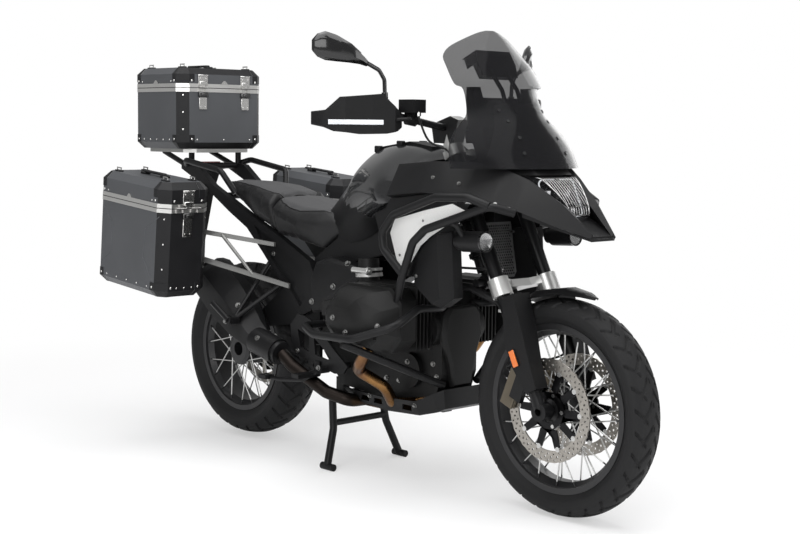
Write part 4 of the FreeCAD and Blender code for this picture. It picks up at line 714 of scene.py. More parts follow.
def brick(x0, x1, y0, y1, z0, z1, cut=0.8):
    """Block with all its edges chamfered by cut."""
    points = []
    for x, dx in ((x0, 1), (x1, -1)):
        for y, dy in ((y0, 1), (y1, -1)):
            for z, dz in ((z0, 1), (z1, -1)):
                in_x, in_y, in_z = x + dx * cut, y + dy * cut, z + dz * cut
                points += [(in_x, in_y, z), (in_x, y, in_z), (x, in_y, in_z)]
    return hull(points)


def placed(parts, matrix):
    """Parts moved by a matrix; a mirror turns their faces round."""
    flip = matrix.to_3x3().determinant() < 0
    moved = []
    for points, faces in parts:
        points = [tuple(matrix @ Vector(p)) for p in points]
        moved.append((points, [loop[::-1] for loop in faces] if flip else faces))
    return moved


def both_sides(parts):
    """The parts, given in millimetres for the left side, in metres on both sides."""
    return placed(parts, MILLIMETRES) + placed(parts, MIRRORED)


def tank_grid():
    """Rows of sections: half-section (x, y, z) points eased along the tank, then round it, then mirrored."""
    half = np.array([[(row[0], y, z) for y, z in row[1:]] for row in TANK], float)
    half = eased(half, 8)
    half = eased(half.transpose(1, 0, 2), 6).transpose(1, 0, 2)
    half[:, :, 1] = np.clip(half[:, :, 1], 0, TANK_HALF)
    other = half[:, :0:-1] * (1, -1, 1)
    ring = np.concatenate([other, half], 1)
    return ring * 0.001 + (MIDWAY / 1000, 0, 0)


tank = surface("tank_shell", tank_grid(), "frame", tank_lacquer)
also_coated(tank, black_plastic, lambda face: face.center.z < 0.905 - 0.25 * face.center.x)
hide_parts("fuel_tank")
knobs = [brick(x - 13, x + 13, 40, 60, z - 14, z + 9, 3) for x, z in ((-20, 1078), (86, 1096))]
SPINE = [(-150, 978), (-100, 1020), (-20, 1080), (110, 1099), (215, 1084)]
strips = [
    hull([(x, y, z + h) for x, z in pair for y in (-36, 36) for h in (-7, 4)])
    for pair in zip(SPINE, SPINE[1:])]
joined("tank_cover", both_sides(knobs) + placed(strips, MILLIMETRES), "frame", black_plastic)
softened("tank_side_panels", "frame", satin_silver, 0.0012)
softened("radiator_shrouds", "frame", black_plastic, 0.003)
softened("nose_fairing", "frame", black_plastic, 0.0025)
softened("instrument_panel", "frame", black_plastic, 0.003)

# ---------------------------------------------------------------- windscreen
# Tall screen of grey tinted polycarbonate, four millimetres thick, bowed across and narrowed to a
# waist below its top. Two parabolic grids make its faces.
def tinted(name, colour, alpha):
    """Transparent sheet: dark where looked through, with a glossy skin and faint dust."""
    finish = Finish(name, 0.03)
    dust = finish.noise(30.0, 5.0)
    finish.set(
        Base_Color=finish.tint(dust, colour, darker(colour, 1.3)), Specular_IOR_Level=0.22, IOR=1.2,
        Alpha=alpha - 0.02 + dust * 0.04)
    return finish.material


screen_tint = tinted("screen_tint", (0.012, 0.012, 0.013), 0.60)
# columns: z, x at the centre, x at the edge, half width
SCREEN = [
    (1030, 704, 540, 280), (1085, 669, 525, 272), (1120, 647, 513, 250), (1160, 620, 503, 205),
    (1192, 599, 494, 168), (1262, 553, 475, 164), (1278, 543, 468, 194), (1330, 510, 433, 194),
    (1362, 490, 407, 183), (1390, 471, 400, 152), (1415, 455, 411, 104), (1436, 440, 421, 52),
    (1444, 434, 426, 20)]


def bowed(table, shift, wide=None):
    """Rows up the screen: x is the centre line less a parabola in y, moved back along its normal by shift."""
    across = np.linspace(-1, 1, 49)
    lines = []
    for row, (z, centre, edge, half) in enumerate(table):
        y = across * (half if wide is None else wide[row])
        x = centre - (centre - edge) * (y / half) ** 2
        slope = 2 * (centre - edge) * y / half ** 2
        length = np.sqrt(1 + slope ** 2)
        lines.append(np.stack([x - shift / length, y - shift * slope / length, np.full_like(y, z)], 1))
    return np.array(lines)


def slab(front, back):
    """Closed sheet between two grids of the same size: both grids' quads and a band round their edge."""
    index = np.arange(front.shape[0] * front.shape[1]).reshape(front.shape[:2])
    far = index.size
    quads = np.stack([index[:-1, :-1], index[:-1, 1:], index[1:, 1:], index[1:, :-1]], -1).reshape(-1, 1, 4)
    both = np.concatenate([quads, quads[:, :, ::-1] + far], 1).reshape(-1, 4)
    edge = np.concatenate([index[0], index[1:, -1], index[-1, -2::-1], index[-2:0:-1, 0]])
    after = np.roll(edge, -1)
    band = np.stack([after, edge, edge + far, after + far], -1)
    points = np.vstack([front.reshape(-1, 3), back.reshape(-1, 3)])
    return points, both.tolist() + band.tolist()


rows = eased(np.array(SCREEN, float), 4)
sheet = placed([slab(bowed(rows, 0.1), bowed(rows, 3.9))], MILLIMETRES)
screen = joined("screen_sheet", sheet, "frame", screen_tint)
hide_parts("windscreen")

# ---------------------------------------------------------------- engine
# Matt black cast crankcase with opposed cylinders and swingarm, stainless headers tinted bronze by
# heat, a black silencer and skid plate. All are frame nodes with rounded edges.
engine_paint = powder_coat("engine_paint", (0.009, 0.009, 0.009), 0.46, 2.0, 0.1)
softened("engine_block", "frame", engine_paint, 0.008, segments=3)
softened("cylinders", "frame", engine_paint, 0.006, segments=3)
softened("swingarm", "frame", engine_paint, 0.006, segments=3)


def heat_tinted(name):
    """Stainless pipe, straw to bronze with purplish patches from the heat, and painted shade: nearly black
    brown towards the rear, where the pipe lies hidden under the engine.
    """
    finish = Finish(name, metallic=1.0)
    bands = finish.noise(11.0, 4.0)
    stops = [(0.25, (0.36, 0.20, 0.07)), (0.5, (0.22, 0.115, 0.045)), (0.75, (0.12, 0.065, 0.05))]
    colour = finish.node("ShaderNodeValToRGB", {"stops": stops}, bands, out="Color")
    # painted shade: behind the front of the engine the pipe's colour turns nearly black brown, standing in
    # for the shade under the engine
    behind_engine = finish.node("ShaderNodeSeparateXYZ", {}, finish.place, out="X") * -12 + 1.2
    rear_painted_shade = finish.node("ShaderNodeClamp", {}, behind_engine + bands * 0.4)
    finish.set(
        Base_Color=finish.tint(rear_painted_shade, colour, (0.022, 0.018, 0.016)),
        Roughness=bands * 0.15 + rear_painted_shade * 0.15 + 0.2)
    return finish.material


softened("exhaust_headers", "frame", heat_tinted("header_bronze"), 0.0005)
softened("silencer", "frame", black_powder, 0.003)
softened("skid_plate", "frame", black_powder, 0.0015)
softened("rear_shock", "frame", black_powder, 0.001)
softened("rear_brake_disc", "rear_wheel", disc_steel, 0.0004)

# ---------------------------------------------------------------- frame, rests and stands
# Forged side plates and welded tube, powder coated black, with a plain steel top on the luggage
# rack and grey pannier carriers. All are frame nodes with rounded edges.
for node, body, width in (
        ("main_frame", "frame", 0.002), ("rear_subframe", "frame", 0.002),
        ("upper_crash_bars", "frame", 0.0008), ("lower_crash_bars", "frame", 0.0008),
        ("footrests", "frame", 0.0015),
        ("centre_stand", "centre_stand", 0.0015), ("side_stand", "side_stand", 0.0015)):
    softened(node, body, black_powder, width)
rack_steel = powder_coat("rack_steel", (0.40, 0.40, 0.39), 0.32, 0.3, 0.9)
rack = softened("luggage_rack", "frame", black_powder, 0.0015)
also_coated(rack, rack_steel, lambda face: face.center.z > 1.040)
softened("rear_mudguard", "frame", black_plastic, 0.0015)
carrier_grey = powder_coat("carrier_grey", (0.20, 0.20, 0.195), 0.4, metallic=0.6)
softened("pannier_carriers", "frame", carrier_grey, 0.001)

# ---------------------------------------------------------------- lamps
# Black housings of the auxiliary lamps, the headlight's clear lens and the red one of the tail
# lamp. The lenses are the frame's own bodies, seen through.
softened("auxiliary_lamps", "frame", black_powder, 0.0015)
lens_clear = tinted("lens_clear", (0.07, 0.072, 0.076), 0.10)
dress("headlight", lens_clear)
dress("tail_lamp", tinted("lens_red", (0.35, 0.01, 0.01), 0.8))

# ---------------------------------------------------------------- headlight
# Black back plate, faceted chrome bowls with lamp caps, two a side, a finned middle module and
# light guides, all inside the clear lens, and a steel wire guard standing off its sloping face.
def bowl(centre, rim, depth, sides=14, rings=5):
    """Paraboloid opening along +X: radius grows as the square root of the depth. Closed behind."""
    cx, cy, cz = centre
    angles = np.linspace(0, 2 * math.pi, sides, endpoint=False)
    points, faces = [], []
    levels = [(depth * (k / rings) ** 2 - depth, rim * k / rings) for k in range(1, rings + 1)]
    levels += [(1.5, rim + 1.5), (-depth * 0.4, rim + 1.5), (-depth - 2, rim * 0.3)]
    for x, r in levels:
        points += [(cx + x, cy + r * math.cos(a), cz + r * math.sin(a)) for a in angles]
    for k in range(len(levels) - 1):
        for i in range(sides):
            j = (i + 1) % sides
            faces.append([k * sides + i, (k + 1) * sides + i, (k + 1) * sides + j, k * sides + j])
    faces.append(list(range(sides)))
    faces.append([(len(levels) - 1) * sides + i for i in range(sides)][::-1])
    return points, faces


def hose(path, radius, sides=10, steps=8):
    """Round hose along a smooth curve through the path's points."""
    line = eased(path, steps)
    way = np.gradient(line, axis=0)
    way /= np.linalg.norm(way, axis=1)[:, None]
    side = np.cross(way, (0.13, 0.31, 0.94))
    side /= np.linalg.norm(side, axis=1)[:, None]
    other = np.cross(way, side)
    angles = np.linspace(0, 2 * math.pi, sides, endpoint=False)
    rings = line[:, None] + radius * (
        np.cos(angles)[None, :, None] * side[:, None] + np.sin(angles)[None, :, None] * other[:, None])
    index = np.arange(len(line) * sides).reshape(-1, sides)
    index = np.hstack([index, index[:, :1]])
    quads = np.stack([index[:-1, :-1], index[:-1, 1:], index[1:, 1:], index[1:, :-1]], -1).reshape(-1, 4)
    return rings.reshape(-1, 3), quads.tolist() + [index[0, -2::-1].tolist(), index[-1, :-1].tolist()]


smoked_chrome = bright_metal("smoked_chrome", (0.20, 0.20, 0.205), 0.14)
guide_white = moulded_plastic("light_guide", (0.72, 0.74, 0.77), 0.25, 0.4)
module = [
    brick(650, 656, -80, 80, 910, 1000, 2), brick(656, 690, -84, -78, 915, 1000),
    brick(656, 690, 78, 84, 915, 1000), brick(656, 712, -13, 13, 905, 992, 3)]
joined("headlight_inside", placed(module, MILLIMETRES), "frame", black_plastic)
bowls = [bowl((700, side * 44, 966), 25, 22) for side in (-1, 1)]
bowls += [bowl((738, side * 32, 915), 17, 18) for side in (-1, 1)]
bowls += [brick(712, 714, -11, 11, z, z + 3.5, 0.5) for z in range(912, 990, 8)]
for side in (-1, 1):
    bowls.append(drum((676, side * 44, 966), (694, side * 44, 966), 7, 12, chamfer=2))
    bowls.append(drum((718, side * 32, 915), (730, side * 32, 915), 5, 12, chamfer=1))
bowls = placed(bowls, MILLIMETRES)
joined("headlight_reflectors", bowls, "frame", smoked_chrome, smooth=False)
GUIDE = [
    (704, 14, 1000), (703, 60, 1000), (705, 78, 985), (722, 74, 955), (742, 64, 930), (765, 48, 900),
    (768, 16, 890)]
guides = [hose([(x, side * y, z) for x, y, z in GUIDE], 2.4, 8, 6) for side in (-1, 1)]
joined("headlight_guides", placed(guides, MILLIMETRES), "frame", guide_white)
# the guard follows the lens: x, z and half width down its face, eight millimetres proud
GUARD = np.array([
    (712, 1003, 78), (733, 988, 72), (757, 966, 62), (776, 944, 54), (793, 920, 46), (795, 898, 44)], float)
THIN_WIRE, EDGE_WIRE, WIRE_PITCH, CROSS_WIRES = 0.9, 1.8, 11.0, 11
run = np.concatenate([[0], np.cumsum(np.linalg.norm(np.diff(GUARD[:, :2], axis=0), axis=1))])
levels = np.arange(0, run[-1] + 0.1, run[-1] / CROSS_WIRES)
rows = np.stack([np.interp(levels, run, column) for column in GUARD.T], 1)
wires = [hose([(x, -half, z), (x, half, z)], THIN_WIRE, 6, 1) for x, z, half in rows]
for y in np.arange(-66, 67, WIRE_PITCH):
    path = [(x, y, z) for x, z, half in rows if abs(y) <= half + 0.5]
    if len(path) > 1:
        wires.append(hose(path, THIN_WIRE, 6, 1))
edge = [(x, half, z) for x, z, half in rows] + [(x, -half, z) for x, z, half in rows[::-1]]
wires.append(hose(edge + edge[:1], EDGE_WIRE, 8, 1))
for side in (-1, 1):
    for foot in (
            [(712, 78, 1003), (704, 80, 1004), (690, 80, 1006)],
            [(795, 44, 898), (788, 46, 890), (776, 46, 886)]):
        wires.append(hose([(x, side * y, z) for x, y, z in foot], EDGE_WIRE, 8, 2))
guard_steel = bright_metal("guard_steel", (0.46, 0.46, 0.46), 0.25)
joined("headlight_guard", placed(wires, MILLIMETRES), "frame", guard_steel)

# ---------------------------------------------------------------- instrument surround
# Black glossy panel that follows the back of the screen, the screws that hold the screen, a visor
# over the navigation unit, and the dark glass of the unit and of the display below it.
def search_tree(mesh):
    """The mesh's faces, ready for rays and nearest points."""
    return BVHTree.FromPolygons([v.co for v in mesh.vertices], [list(p.vertices) for p in mesh.polygons])


def faces_of(node):
    """Search tree over the faces of a frame node."""
    return search_tree(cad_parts[node].data)


rows = eased(np.array(SCREEN[:5] + [(1218, 582, 488, 167)], float), 5)
wide = eased(np.array([214, 182, 158, 128, 112, 104], float), 5)
panel = placed([slab(bowed(rows, 8, wide), bowed(rows, 10.5, wide))], MILLIMETRES)
joined("screen_surround", panel, "frame", gloss_black)
pane = faces_of("windscreen")
screws = []
for y, z in ((92, 1075), (84, 1120), (88, 1168), (96, 1200)):
    for side in (-1, 1):
        hit, normal, _, _ = pane.ray_cast(spot(900, side * y, z), Vector((-1, 0, 0)))
        base, way = np.array(hit), np.array(normal)
        screws.append(drum(base - way * 0.0005, base + way * 0.0035, 0.0062, 14, chamfer=0.0012))
joined("screen_screws", screws, "frame", black_plastic)


def tilted(x, z, degrees):
    """Matrix from millimetres round a point in the middle plane, leaning back."""
    lean = Matrix.Rotation(math.radians(-degrees), 4, "Y")
    return Matrix.Translation(spot(x, 0, z)) @ lean @ Matrix.Scale(0.001, 4)


tilt = tilted(446, 1338, 25)
visor = [
    brick(-46, 8, -80, 80, 39, 42, 1), brick(-38, 8, -82, -79, 4, 41, 1), brick(-38, 8, 79, 82, 4, 41, 1)]
joined("unit_visor", placed(visor, tilt), "frame", black_plastic)
glass = Finish("display_glass", 0.06)
glass.set(Base_Color=glass.tint(glass.noise(20.0, 4.0), (0.006, 0.007, 0.009), (0.010, 0.011, 0.013)))
pane = placed([brick(-16.5, -13, -68, 68, -36, 36, 1.5)], tilt)
joined("unit_glass", pane, "frame", glass.material)
pane = placed([brick(-8, -5, -84, 84, -44, 44, 1.5)], tilted(486, 1192, 25))
joined("display_glass", pane, "frame", glass.material)

# ---------------------------------------------------------------- lamps and reflectors
# Auxiliary lamps with a black rim, faceted reflector and domed glass; light strips laid on the
# hand guards; amber reflectors with small square cells, on black backs at the mudguard's sides.
LAMP_Y, LAMP_Z, DOME_RADIUS, DOME_SIDES = 202, 818.2, 27.2, 24


def dome(centre_y):
    """Glass cap whose height falls with the square of the radius, four rings of points, closed behind."""
    turn = np.linspace(0, 2 * math.pi, DOME_SIDES, endpoint=False)
    rings = [(614.6 + 3.5 * (1 - (r / DOME_RADIUS) ** 2), r) for r in (DOME_RADIUS, 22, 15, 7)]
    points = [(x, centre_y + r * math.cos(t), LAMP_Z + r * math.sin(t)) for x, r in rings for t in turn]
    index = np.arange(len(points)).reshape(len(rings), DOME_SIDES)
    index = np.hstack([index, index[:, :1]])
    quads = np.stack([index[:-1, :-1], index[:-1, 1:], index[1:, 1:], index[1:, :-1]], -1).reshape(-1, 4)
    return points, quads.tolist() + [index[-1, :-1].tolist(), index[0, -2::-1].tolist()]


sides = (-LAMP_Y, LAMP_Y)
lamp_rims = [drum((609.5, y, 818), (616, y, 818.3), 31, 28, bore=27.5) for y in sides]
joined("auxiliary_rims", placed(lamp_rims, MILLIMETRES), "frame", gloss_black)
lamp_bowls = placed([bowl((613, y, LAMP_Z), 25.5, 2.6, 16, 4) for y in sides], MILLIMETRES)
lamp_chrome = bright_metal("lamp_chrome", (0.55, 0.55, 0.55), 0.12)
joined("auxiliary_reflectors", lamp_bowls, "frame", lamp_chrome, smooth=False)
domes = placed([dome(y) for y in sides], MILLIMETRES)
joined("auxiliary_glass", domes, "frame", lens_clear)
guards = faces_of("hand_guards")
strips = []
for side in (-1, 1):
    for z in (1157, 1161.5, 1166):
        line = []
        for y in range(342, 463, 10):
            hit, normal, _, _ = guards.ray_cast(spot(600, side * y, z), Vector((-1, 0, 0)))
            if hit:
                line.append(tuple(hit + normal * 0.0004))
        strips.append(hose(line, 0.0028, 8, 2))
joined("guard_light_strips", strips, "steering", guide_white)
cover = faces_of("front_mudguard")
amber = Finish("amber_reflector", 0.18)
cells = amber.node(
    "ShaderNodeTexVoronoi", {"distance": "CHEBYCHEV"}, amber.place, Scale=420.0, Randomness=0.0,
    out="Distance")
amber.set(
    Base_Color=amber.tint(cells, (0.85, 0.20, 0.012), (0.55, 0.10, 0.006)), Coat_Weight=0.6,
    Normal=amber.bump(cells, 0.0006, 0.8))
plates, backs = [], []
for side in (-1, 1):
    hit = cover.ray_cast(spot(676, side * 400, 476), Vector((0, -side, 0)))[0]
    rake = Matrix.Translation(hit) @ Matrix.Rotation(math.radians(-26), 4, "Y")
    rake = rake @ Matrix.Diagonal((0.001, 0.001 * side, 0.001, 1))
    backs += placed([brick(-12, 12, -4, 3, -27, 27, 1)], rake)
    plates += placed([brick(-10, 10, 2.5, 6, -25, 25, 1)], rake)
joined("reflector_backs", backs, "steering", black_plastic)
joined("fork_reflectors", plates, "steering", amber.material)

# ---------------------------------------------------------------- cooler grille
# Dark steel sheet with staggered hexagon holes, hung below the beak between the coolers on two
# stays a side. It is a flat filled outline, extruded and leant back.
HOLE_PITCH, GRILLE_HALF = 9.5, 64
outline = np.array([
    (-GRILLE_HALF, -86), (GRILLE_HALF - 12, -86), (GRILLE_HALF, -70), (GRILLE_HALF, 86),
    (-GRILLE_HALF, 86)]) * 0.001
cuts = []
for row in range(-9, 10):
    for column in range(-7, 8):
        x, z = (column + 0.5 * (row % 2)) * HOLE_PITCH, row * HOLE_PITCH * 0.87
        if abs(x) < GRILLE_HALF - 8 and abs(z) < 76:
            cuts.append(circle(0.0041, 6, (x * 0.001, z * 0.001)))
stand = Matrix.Translation(spot(482, 0, 776)) @ Matrix.Rotation(math.radians(-10), 4, "Y") @ Matrix(
    ((0, 0, 1, 0), (1, 0, 0, 0), (0, 1, 0, 0), (0, 0, 0, 1)))
grille_steel = bright_metal("grille_steel", (0.13, 0.13, 0.13), 0.35)
flat_plate("cooler_grille", [outline] + cuts, 0.0024, stand, "frame", grille_steel)
stays = [hose([(345, 115, z), (425, 80, z), (470, 66, z), (484, 60, z)], 4, 8, 3) for z in (720, 830)]
joined("grille_stays", both_sides(stays), "frame", black_powder)

# ---------------------------------------------------------------- seats
# Two foam cushions: a paler grippy panel on top, sewn with a piped seam to smooth black sides. Each
# is its own solid in the frame, remeshed, relaxed and blown up as cloth inside that solid.
SEAT_VOXEL, SEAT_PUFF, SEAT_SLACK = 0.006, 0.007, 0.0015
AIR_PRESSURE, AIR_STEPS = 4, 20
# plan of each top panel, x and half width, from front to back
RIDER_PANEL = [
    (-161, 0), (-163, 40), (-176, 74), (-215, 96), (-270, 112), (-340, 122), (-420, 116), (-470, 98),
    (-480, 60), (-481, 0)]
PASSENGER_PANEL = [
    (-489, 0), (-490, 60), (-502, 92), (-560, 102), (-620, 98), (-700, 80), (-770, 64), (-806, 50),
    (-822, 26), (-825, 0)]


def blown_cushion(node, name):
    """The node remeshed, relaxed and swelled by cloth pressure; no point leaves the node's solid."""
    pad = bpy.data.objects.new(name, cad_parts[node].data.copy())
    bpy.context.collection.objects.link(pad)
    shell = bmesh.new()
    shell.from_mesh(pad.data)
    bmesh.ops.remove_doubles(shell, verts=shell.verts, dist=WELD)
    shell.to_mesh(pad.data)
    shell.free()
    remesh = pad.modifiers.new("remesh", "REMESH")
    remesh.mode = "VOXEL"
    remesh.voxel_size = SEAT_VOXEL
    relax = pad.modifiers.new("relax", "SMOOTH")
    relax.factor, relax.iterations = 0.5, 34
    pad.data = bpy.data.meshes.new_from_object(pad.evaluated_get(bpy.context.evaluated_depsgraph_get()))
    pad.modifiers.clear()
    count = len(pad.data.vertices)
    start = np.empty(count * 3)
    pad.data.vertices.foreach_get("co", start)
    start = start.reshape(-1, 3)
    cloth = pad.modifiers.new("cloth", "CLOTH")
    cloth.settings.use_pressure = True
    cloth.settings.uniform_pressure_force = AIR_PRESSURE
    cloth.settings.effector_weights.gravity = 0
    cloth.settings.quality = 5
    cloth.collision_settings.use_collision = False
    cloth.point_cache.frame_start, cloth.point_cache.frame_end = 1, AIR_STEPS
    for step in range(1, AIR_STEPS + 1):
        bpy.context.scene.frame_set(step)
    swelled = bpy.data.meshes.new_from_object(pad.evaluated_get(bpy.context.evaluated_depsgraph_get()))
    pad.modifiers.clear()
    bpy.context.scene.frame_set(1)
    pad.data = swelled
    end = np.empty(count * 3)
    pad.data.vertices.foreach_get("co", end)
    move = end.reshape(-1, 3) - start
    far = np.linalg.norm(move, axis=1)[:, None]
    end = start + move * np.minimum(1, SEAT_PUFF / np.maximum(far, 1e-9))
    tree = faces_of(node)
    for i, point in enumerate(end):
        near, normal, _, _ = tree.find_nearest(Vector(point))
        if (Vector(point) - near).dot(normal) > -SEAT_SLACK:
            end[i] = near - normal * SEAT_SLACK
    pad.data.vertices.foreach_set("co", end.ravel())
    pad.data.update()
    return pad


def panel_edge(plan):
    """Closed outline of a top panel in metres: the eased plan and its mirror image."""
    half = eased(np.array(plan, float), 6)
    ring = np.concatenate([half, (half * (1, -1))[-2:0:-1]])
    return ring * 0.001 + (MIDWAY / 1000, 0)


def inside_by(points, ring):
    """Distance of plan points from the ring, positive inside it."""
    first, second = ring, np.roll(ring, -1, 0)
    best = np.full(len(points), 9.0)
    inside = np.zeros(len(points), bool)
    for a, b in zip(first, second):
        way = b - a
        t = np.clip(((points - a) @ way) / max(way @ way, 1e-12), 0, 1)
        best = np.minimum(best, np.linalg.norm(points - a - t[:, None] * way, axis=1))
        crossing = (a[1] > points[:, 1]) != (b[1] > points[:, 1])
        x = a[0] + (points[:, 1] - a[1]) / (b[1] - a[1] + 1e-12) * way[0]
        inside ^= crossing & (points[:, 0] < x)
    return np.where(inside, best, -best)


def seat_cover():
    """Vinyl whose top panel is paler, rougher and cross-woven where the panel attribute is above zero."""
    finish = Finish("seat_cover")
    panel = finish.node("ShaderNodeAttribute", {"attribute_name": "panel"}, out="Fac").over(0.0)
    cloud = finish.noise(12.0, 5.0)
    grain = finish.node("ShaderNodeTexVoronoi", {}, finish.place, Scale=520.0, out="Distance")
    weave = finish.node(
        "ShaderNodeTexVoronoi", {"distance": "CHEBYCHEV"}, finish.place, Scale=300.0, Randomness=0.15,
        out="Distance")
    side = finish.tint(cloud, (0.0075, 0.0075, 0.008), (0.0115, 0.0115, 0.012))
    top = finish.tint(cloud, (0.050, 0.050, 0.052), (0.066, 0.066, 0.068))
    finish.set(
        Base_Color=finish.tint(panel, side, top), Specular_IOR_Level=0.3,
        Roughness=0.42 + panel * 0.22 + cloud * 0.08,
        Normal=finish.bump(grain * (1 - panel) + weave * panel, 0.0004, 0.6))
    return finish.material


def stitched(pad, ring, lift):
    """Points of a ring in plan dropped onto the cushion and raised a little."""
    tree = search_tree(pad.data)
    path = []
    for x, y in ring:
        hit, normal, _, _ = tree.ray_cast(Vector((x, y, 2)), Vector((0, 0, -1)))
        if hit:
            path.append(tuple(hit + normal * lift))
    return path


cover = seat_cover()
piping = rubber("seat_piping", (0.006, 0.006, 0.006), 0.5)
for node, plan in (("rider_seat", RIDER_PANEL), ("passenger_seat", PASSENGER_PANEL)):
    pad = blown_cushion(node, node + "_cushion")
    pad.data.materials.clear()
    pad.data.materials.append(cover)
    ring = panel_edge(plan)
    spots = np.array([v.co for v in pad.data.vertices])
    normals = np.array([v.normal for v in pad.data.vertices])
    gap = np.where(normals[:, 2] > 0.15, inside_by(spots[:, :2], ring), -0.02)
    # the panel stands a little proud of the sides and dips along its seam
    raised = np.exp(-(gap / 0.006) ** 2) * -0.0022 + np.clip(gap / 0.02, 0, 1) * 0.0012
    spots = spots + normals * np.where(normals[:, 2] > 0.15, raised, 0)[:, None]
    pad.data.vertices.foreach_set("co", spots.ravel())
    pad.data.attributes.new("panel", "FLOAT", "POINT").data.foreach_set("value", gap)
    pad.data.update()
    pad.data.shade_smooth()
    level = pad.modifiers.new("even", "SUBSURF")
    level.levels = level.render_levels = 1
    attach(pad, "frame")
    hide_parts(node)
    seam = stitched(pad, ring, 0.0004)
    joined(node + "_piping", [hose(seam + seam[:1], 0.0016, 6, 1)], "frame", piping)

# ---------------------------------------------------------------- luggage cases
# Aluminium sheet with an anthracite powder coat, riveted to black corner profiles and moulded corner
# protectors, with a bare aluminium band at the rim of body and lid. They are the frame's own
# nodes: each face takes one of three finishes by where it lies on its case.
TOP_CASE = {
    "front": -943.0, "mid_y": 0.0, "low": 1060.0, "length": 329.0, "half": 193.0, "seam": 226.0, "lid": 74.0,
    "pitch": 0.0}
PANNIER = {
    "front": -654.0, "mid_y": 384.5, "low": 550.0, "length": 419.0, "half": 103.5, "seam": 312.0, "lid": 88.0,
    "pitch": 5.1}
BAND_HIGH, CAP_HIGH, CAP_WIDE, SHEET_IN, LID_GAP = 15.0, 52.0, 58.0, 1.5, 0.5


def case_frame(case, side):
    """Matrix from a case's own millimetres (back from its front, outwards, up from its underside)."""
    outward = Matrix.Diagonal((0.001, 0.001 * side, 0.001, 1))
    turn = Matrix.Rotation(math.radians(case["pitch"]), 4, "Y")
    return Matrix.Translation(spot(case["front"], side * case["mid_y"], case["low"])) @ turn @ outward


def band_finish(name, case):
    """Bare aluminium, dark where the rubber seal shows between the rims of body and lid."""
    finish = Finish(name)
    place = case_frame(case, 1)
    up = (place.to_3x3() @ Vector((0, 0, 1))).normalized()
    level = up.dot(place @ Vector((0, 0, case["seam"] + 0.25)))
    height = finish.node(
        "ShaderNodeVectorMath", {"operation": "DOT_PRODUCT"}, finish.place, tuple(up), out="Value") - level
    metal = finish.node("ShaderNodeMath", {"operation": "ABSOLUTE"}, height).over(0.0014)
    cloud = finish.noise(8.0, 4.0)
    bare = finish.tint(cloud, (0.56, 0.555, 0.54), (0.66, 0.655, 0.64))
    finish.set(
        Base_Color=finish.tint(metal, (0.012, 0.012, 0.012), bare),
        Metallic=metal * 0.9, Roughness=0.5 - metal * 0.2 + cloud * 0.06,
        Normal=finish.bump(finish.noise(1100.0, 2.0), 0.0001, 0.5))
    return finish.material


def case_finish(node, case, side, black_front):
    """Slot 0 coated sheet, 1 black mouldings and corners, 2 bare aluminium bands and inside.

    Where a node holds a case on each side, only the faces on the given side are sorted.
    """
    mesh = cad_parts[node].data
    mesh.materials.clear()
    for material in (case_coat, case_black, band_finish(node + "_band", case)):
        mesh.materials.append(material)
    back = case_frame(case, side).inverted()
    turn = back.to_3x3()
    top = case["seam"] + LID_GAP + case["lid"]
    for face in mesh.polygons:
        x, y, z = back @ face.center
        if case["mid_y"] and face.center.y * side < 0:
            continue
        normal = (turn @ face.normal).normalized()
        outer = normal.dot(Vector((x + case["length"] / 2, y, 0))) > 0 and max(
            abs(x + case["length"] / 2) - case["length"] / 2, abs(y) - case["half"]) > -SHEET_IN - 22
        from_end = min(-x, x + case["length"])
        from_edge = case["half"] - abs(y)
        near_closed = min(z, top - z)
        chamfer = abs(normal.x) > 0.5 and abs(normal.y) > 0.5
        slope = normal.x > 0.3 and abs(normal.z) > 0.3
        front = normal.x > 0.9 and -x < 4
        wall = min(from_end, from_edge)
        if not outer and abs(normal.z) < 0.3 and wall > 3:
            face.material_index = 2
        elif abs(z - case["seam"]) < BAND_HIGH + 1 and (wall < 1 or (chamfer and wall < 19)):
            face.material_index = 2
        elif chamfer or slope or (front and black_front):
            face.material_index = 1
        elif near_closed < CAP_HIGH and from_end < CAP_WIDE and from_edge < CAP_WIDE:
            face.material_index = 1


case_coat = powder_coat("case_coat", (0.082, 0.085, 0.091), 0.42, 1.2, 0.2)
case_black = moulded_plastic("case_black", (0.012, 0.012, 0.013), 0.42)
case_finish("top_case", TOP_CASE, 1, False)
case_finish("top_case_lid", TOP_CASE, 1, False)
for side, lid in ((1, "pannier_lid_left"), (-1, "pannier_lid_right")):
    case_finish("panniers", PANNIER, side, True)
    case_finish(lid, PANNIER, side, True)

# ---------------------------------------------------------------- case fittings
# Stainless latches, rivets, pointed band tabs, raised chevrons on the panniers, and tie-down lugs
# and a carrying handle on each lid. They are small solids in the case's own millimetres.
def rivet(at, way, radius=3.2, height=1.8):
    """Head with a wide chamfer at a place on a sheet, standing along way."""
    at, way = np.array(at, float), np.array(way, float)
    return drum(at - way * 0.5, at + way * height, radius, 10, chamfer=height * 0.6)


RIDGE_WIDTH, RIDGE_HEIGHT = 3.4, 1.3


def ridge(path, face_y):
    """Raised line of triangular section on the plane y = face_y, along (x, z) points."""
    path = np.array(path, float)
    parts = []
    for first, second in zip(path, path[1:]):
        way = (second - first) / np.linalg.norm(second - first)
        side = np.array([-way[1], way[0]]) * RIDGE_WIDTH / 2
        corners = []
        for x, z in (first, second):
            corners += [
                (x + side[0], face_y - 0.3, z + side[1]), (x - side[0], face_y - 0.3, z - side[1]),
                (x, face_y + RIDGE_HEIGHT, z)]
        parts.append(hull(corners))
    return parts


def tab(x, y, z, along_x, rise):
    """Pointed tab on a band, its base centred at x, y, z."""
    points = []
    for across, up in ((-17, 0), (17, 0), (4, rise), (-4, rise)):
        for deep in (-0.5, 2.2):
            points.append((x + across, y + deep, z + up) if along_x else (x + deep, y + across, z + up))
    return hull(points)


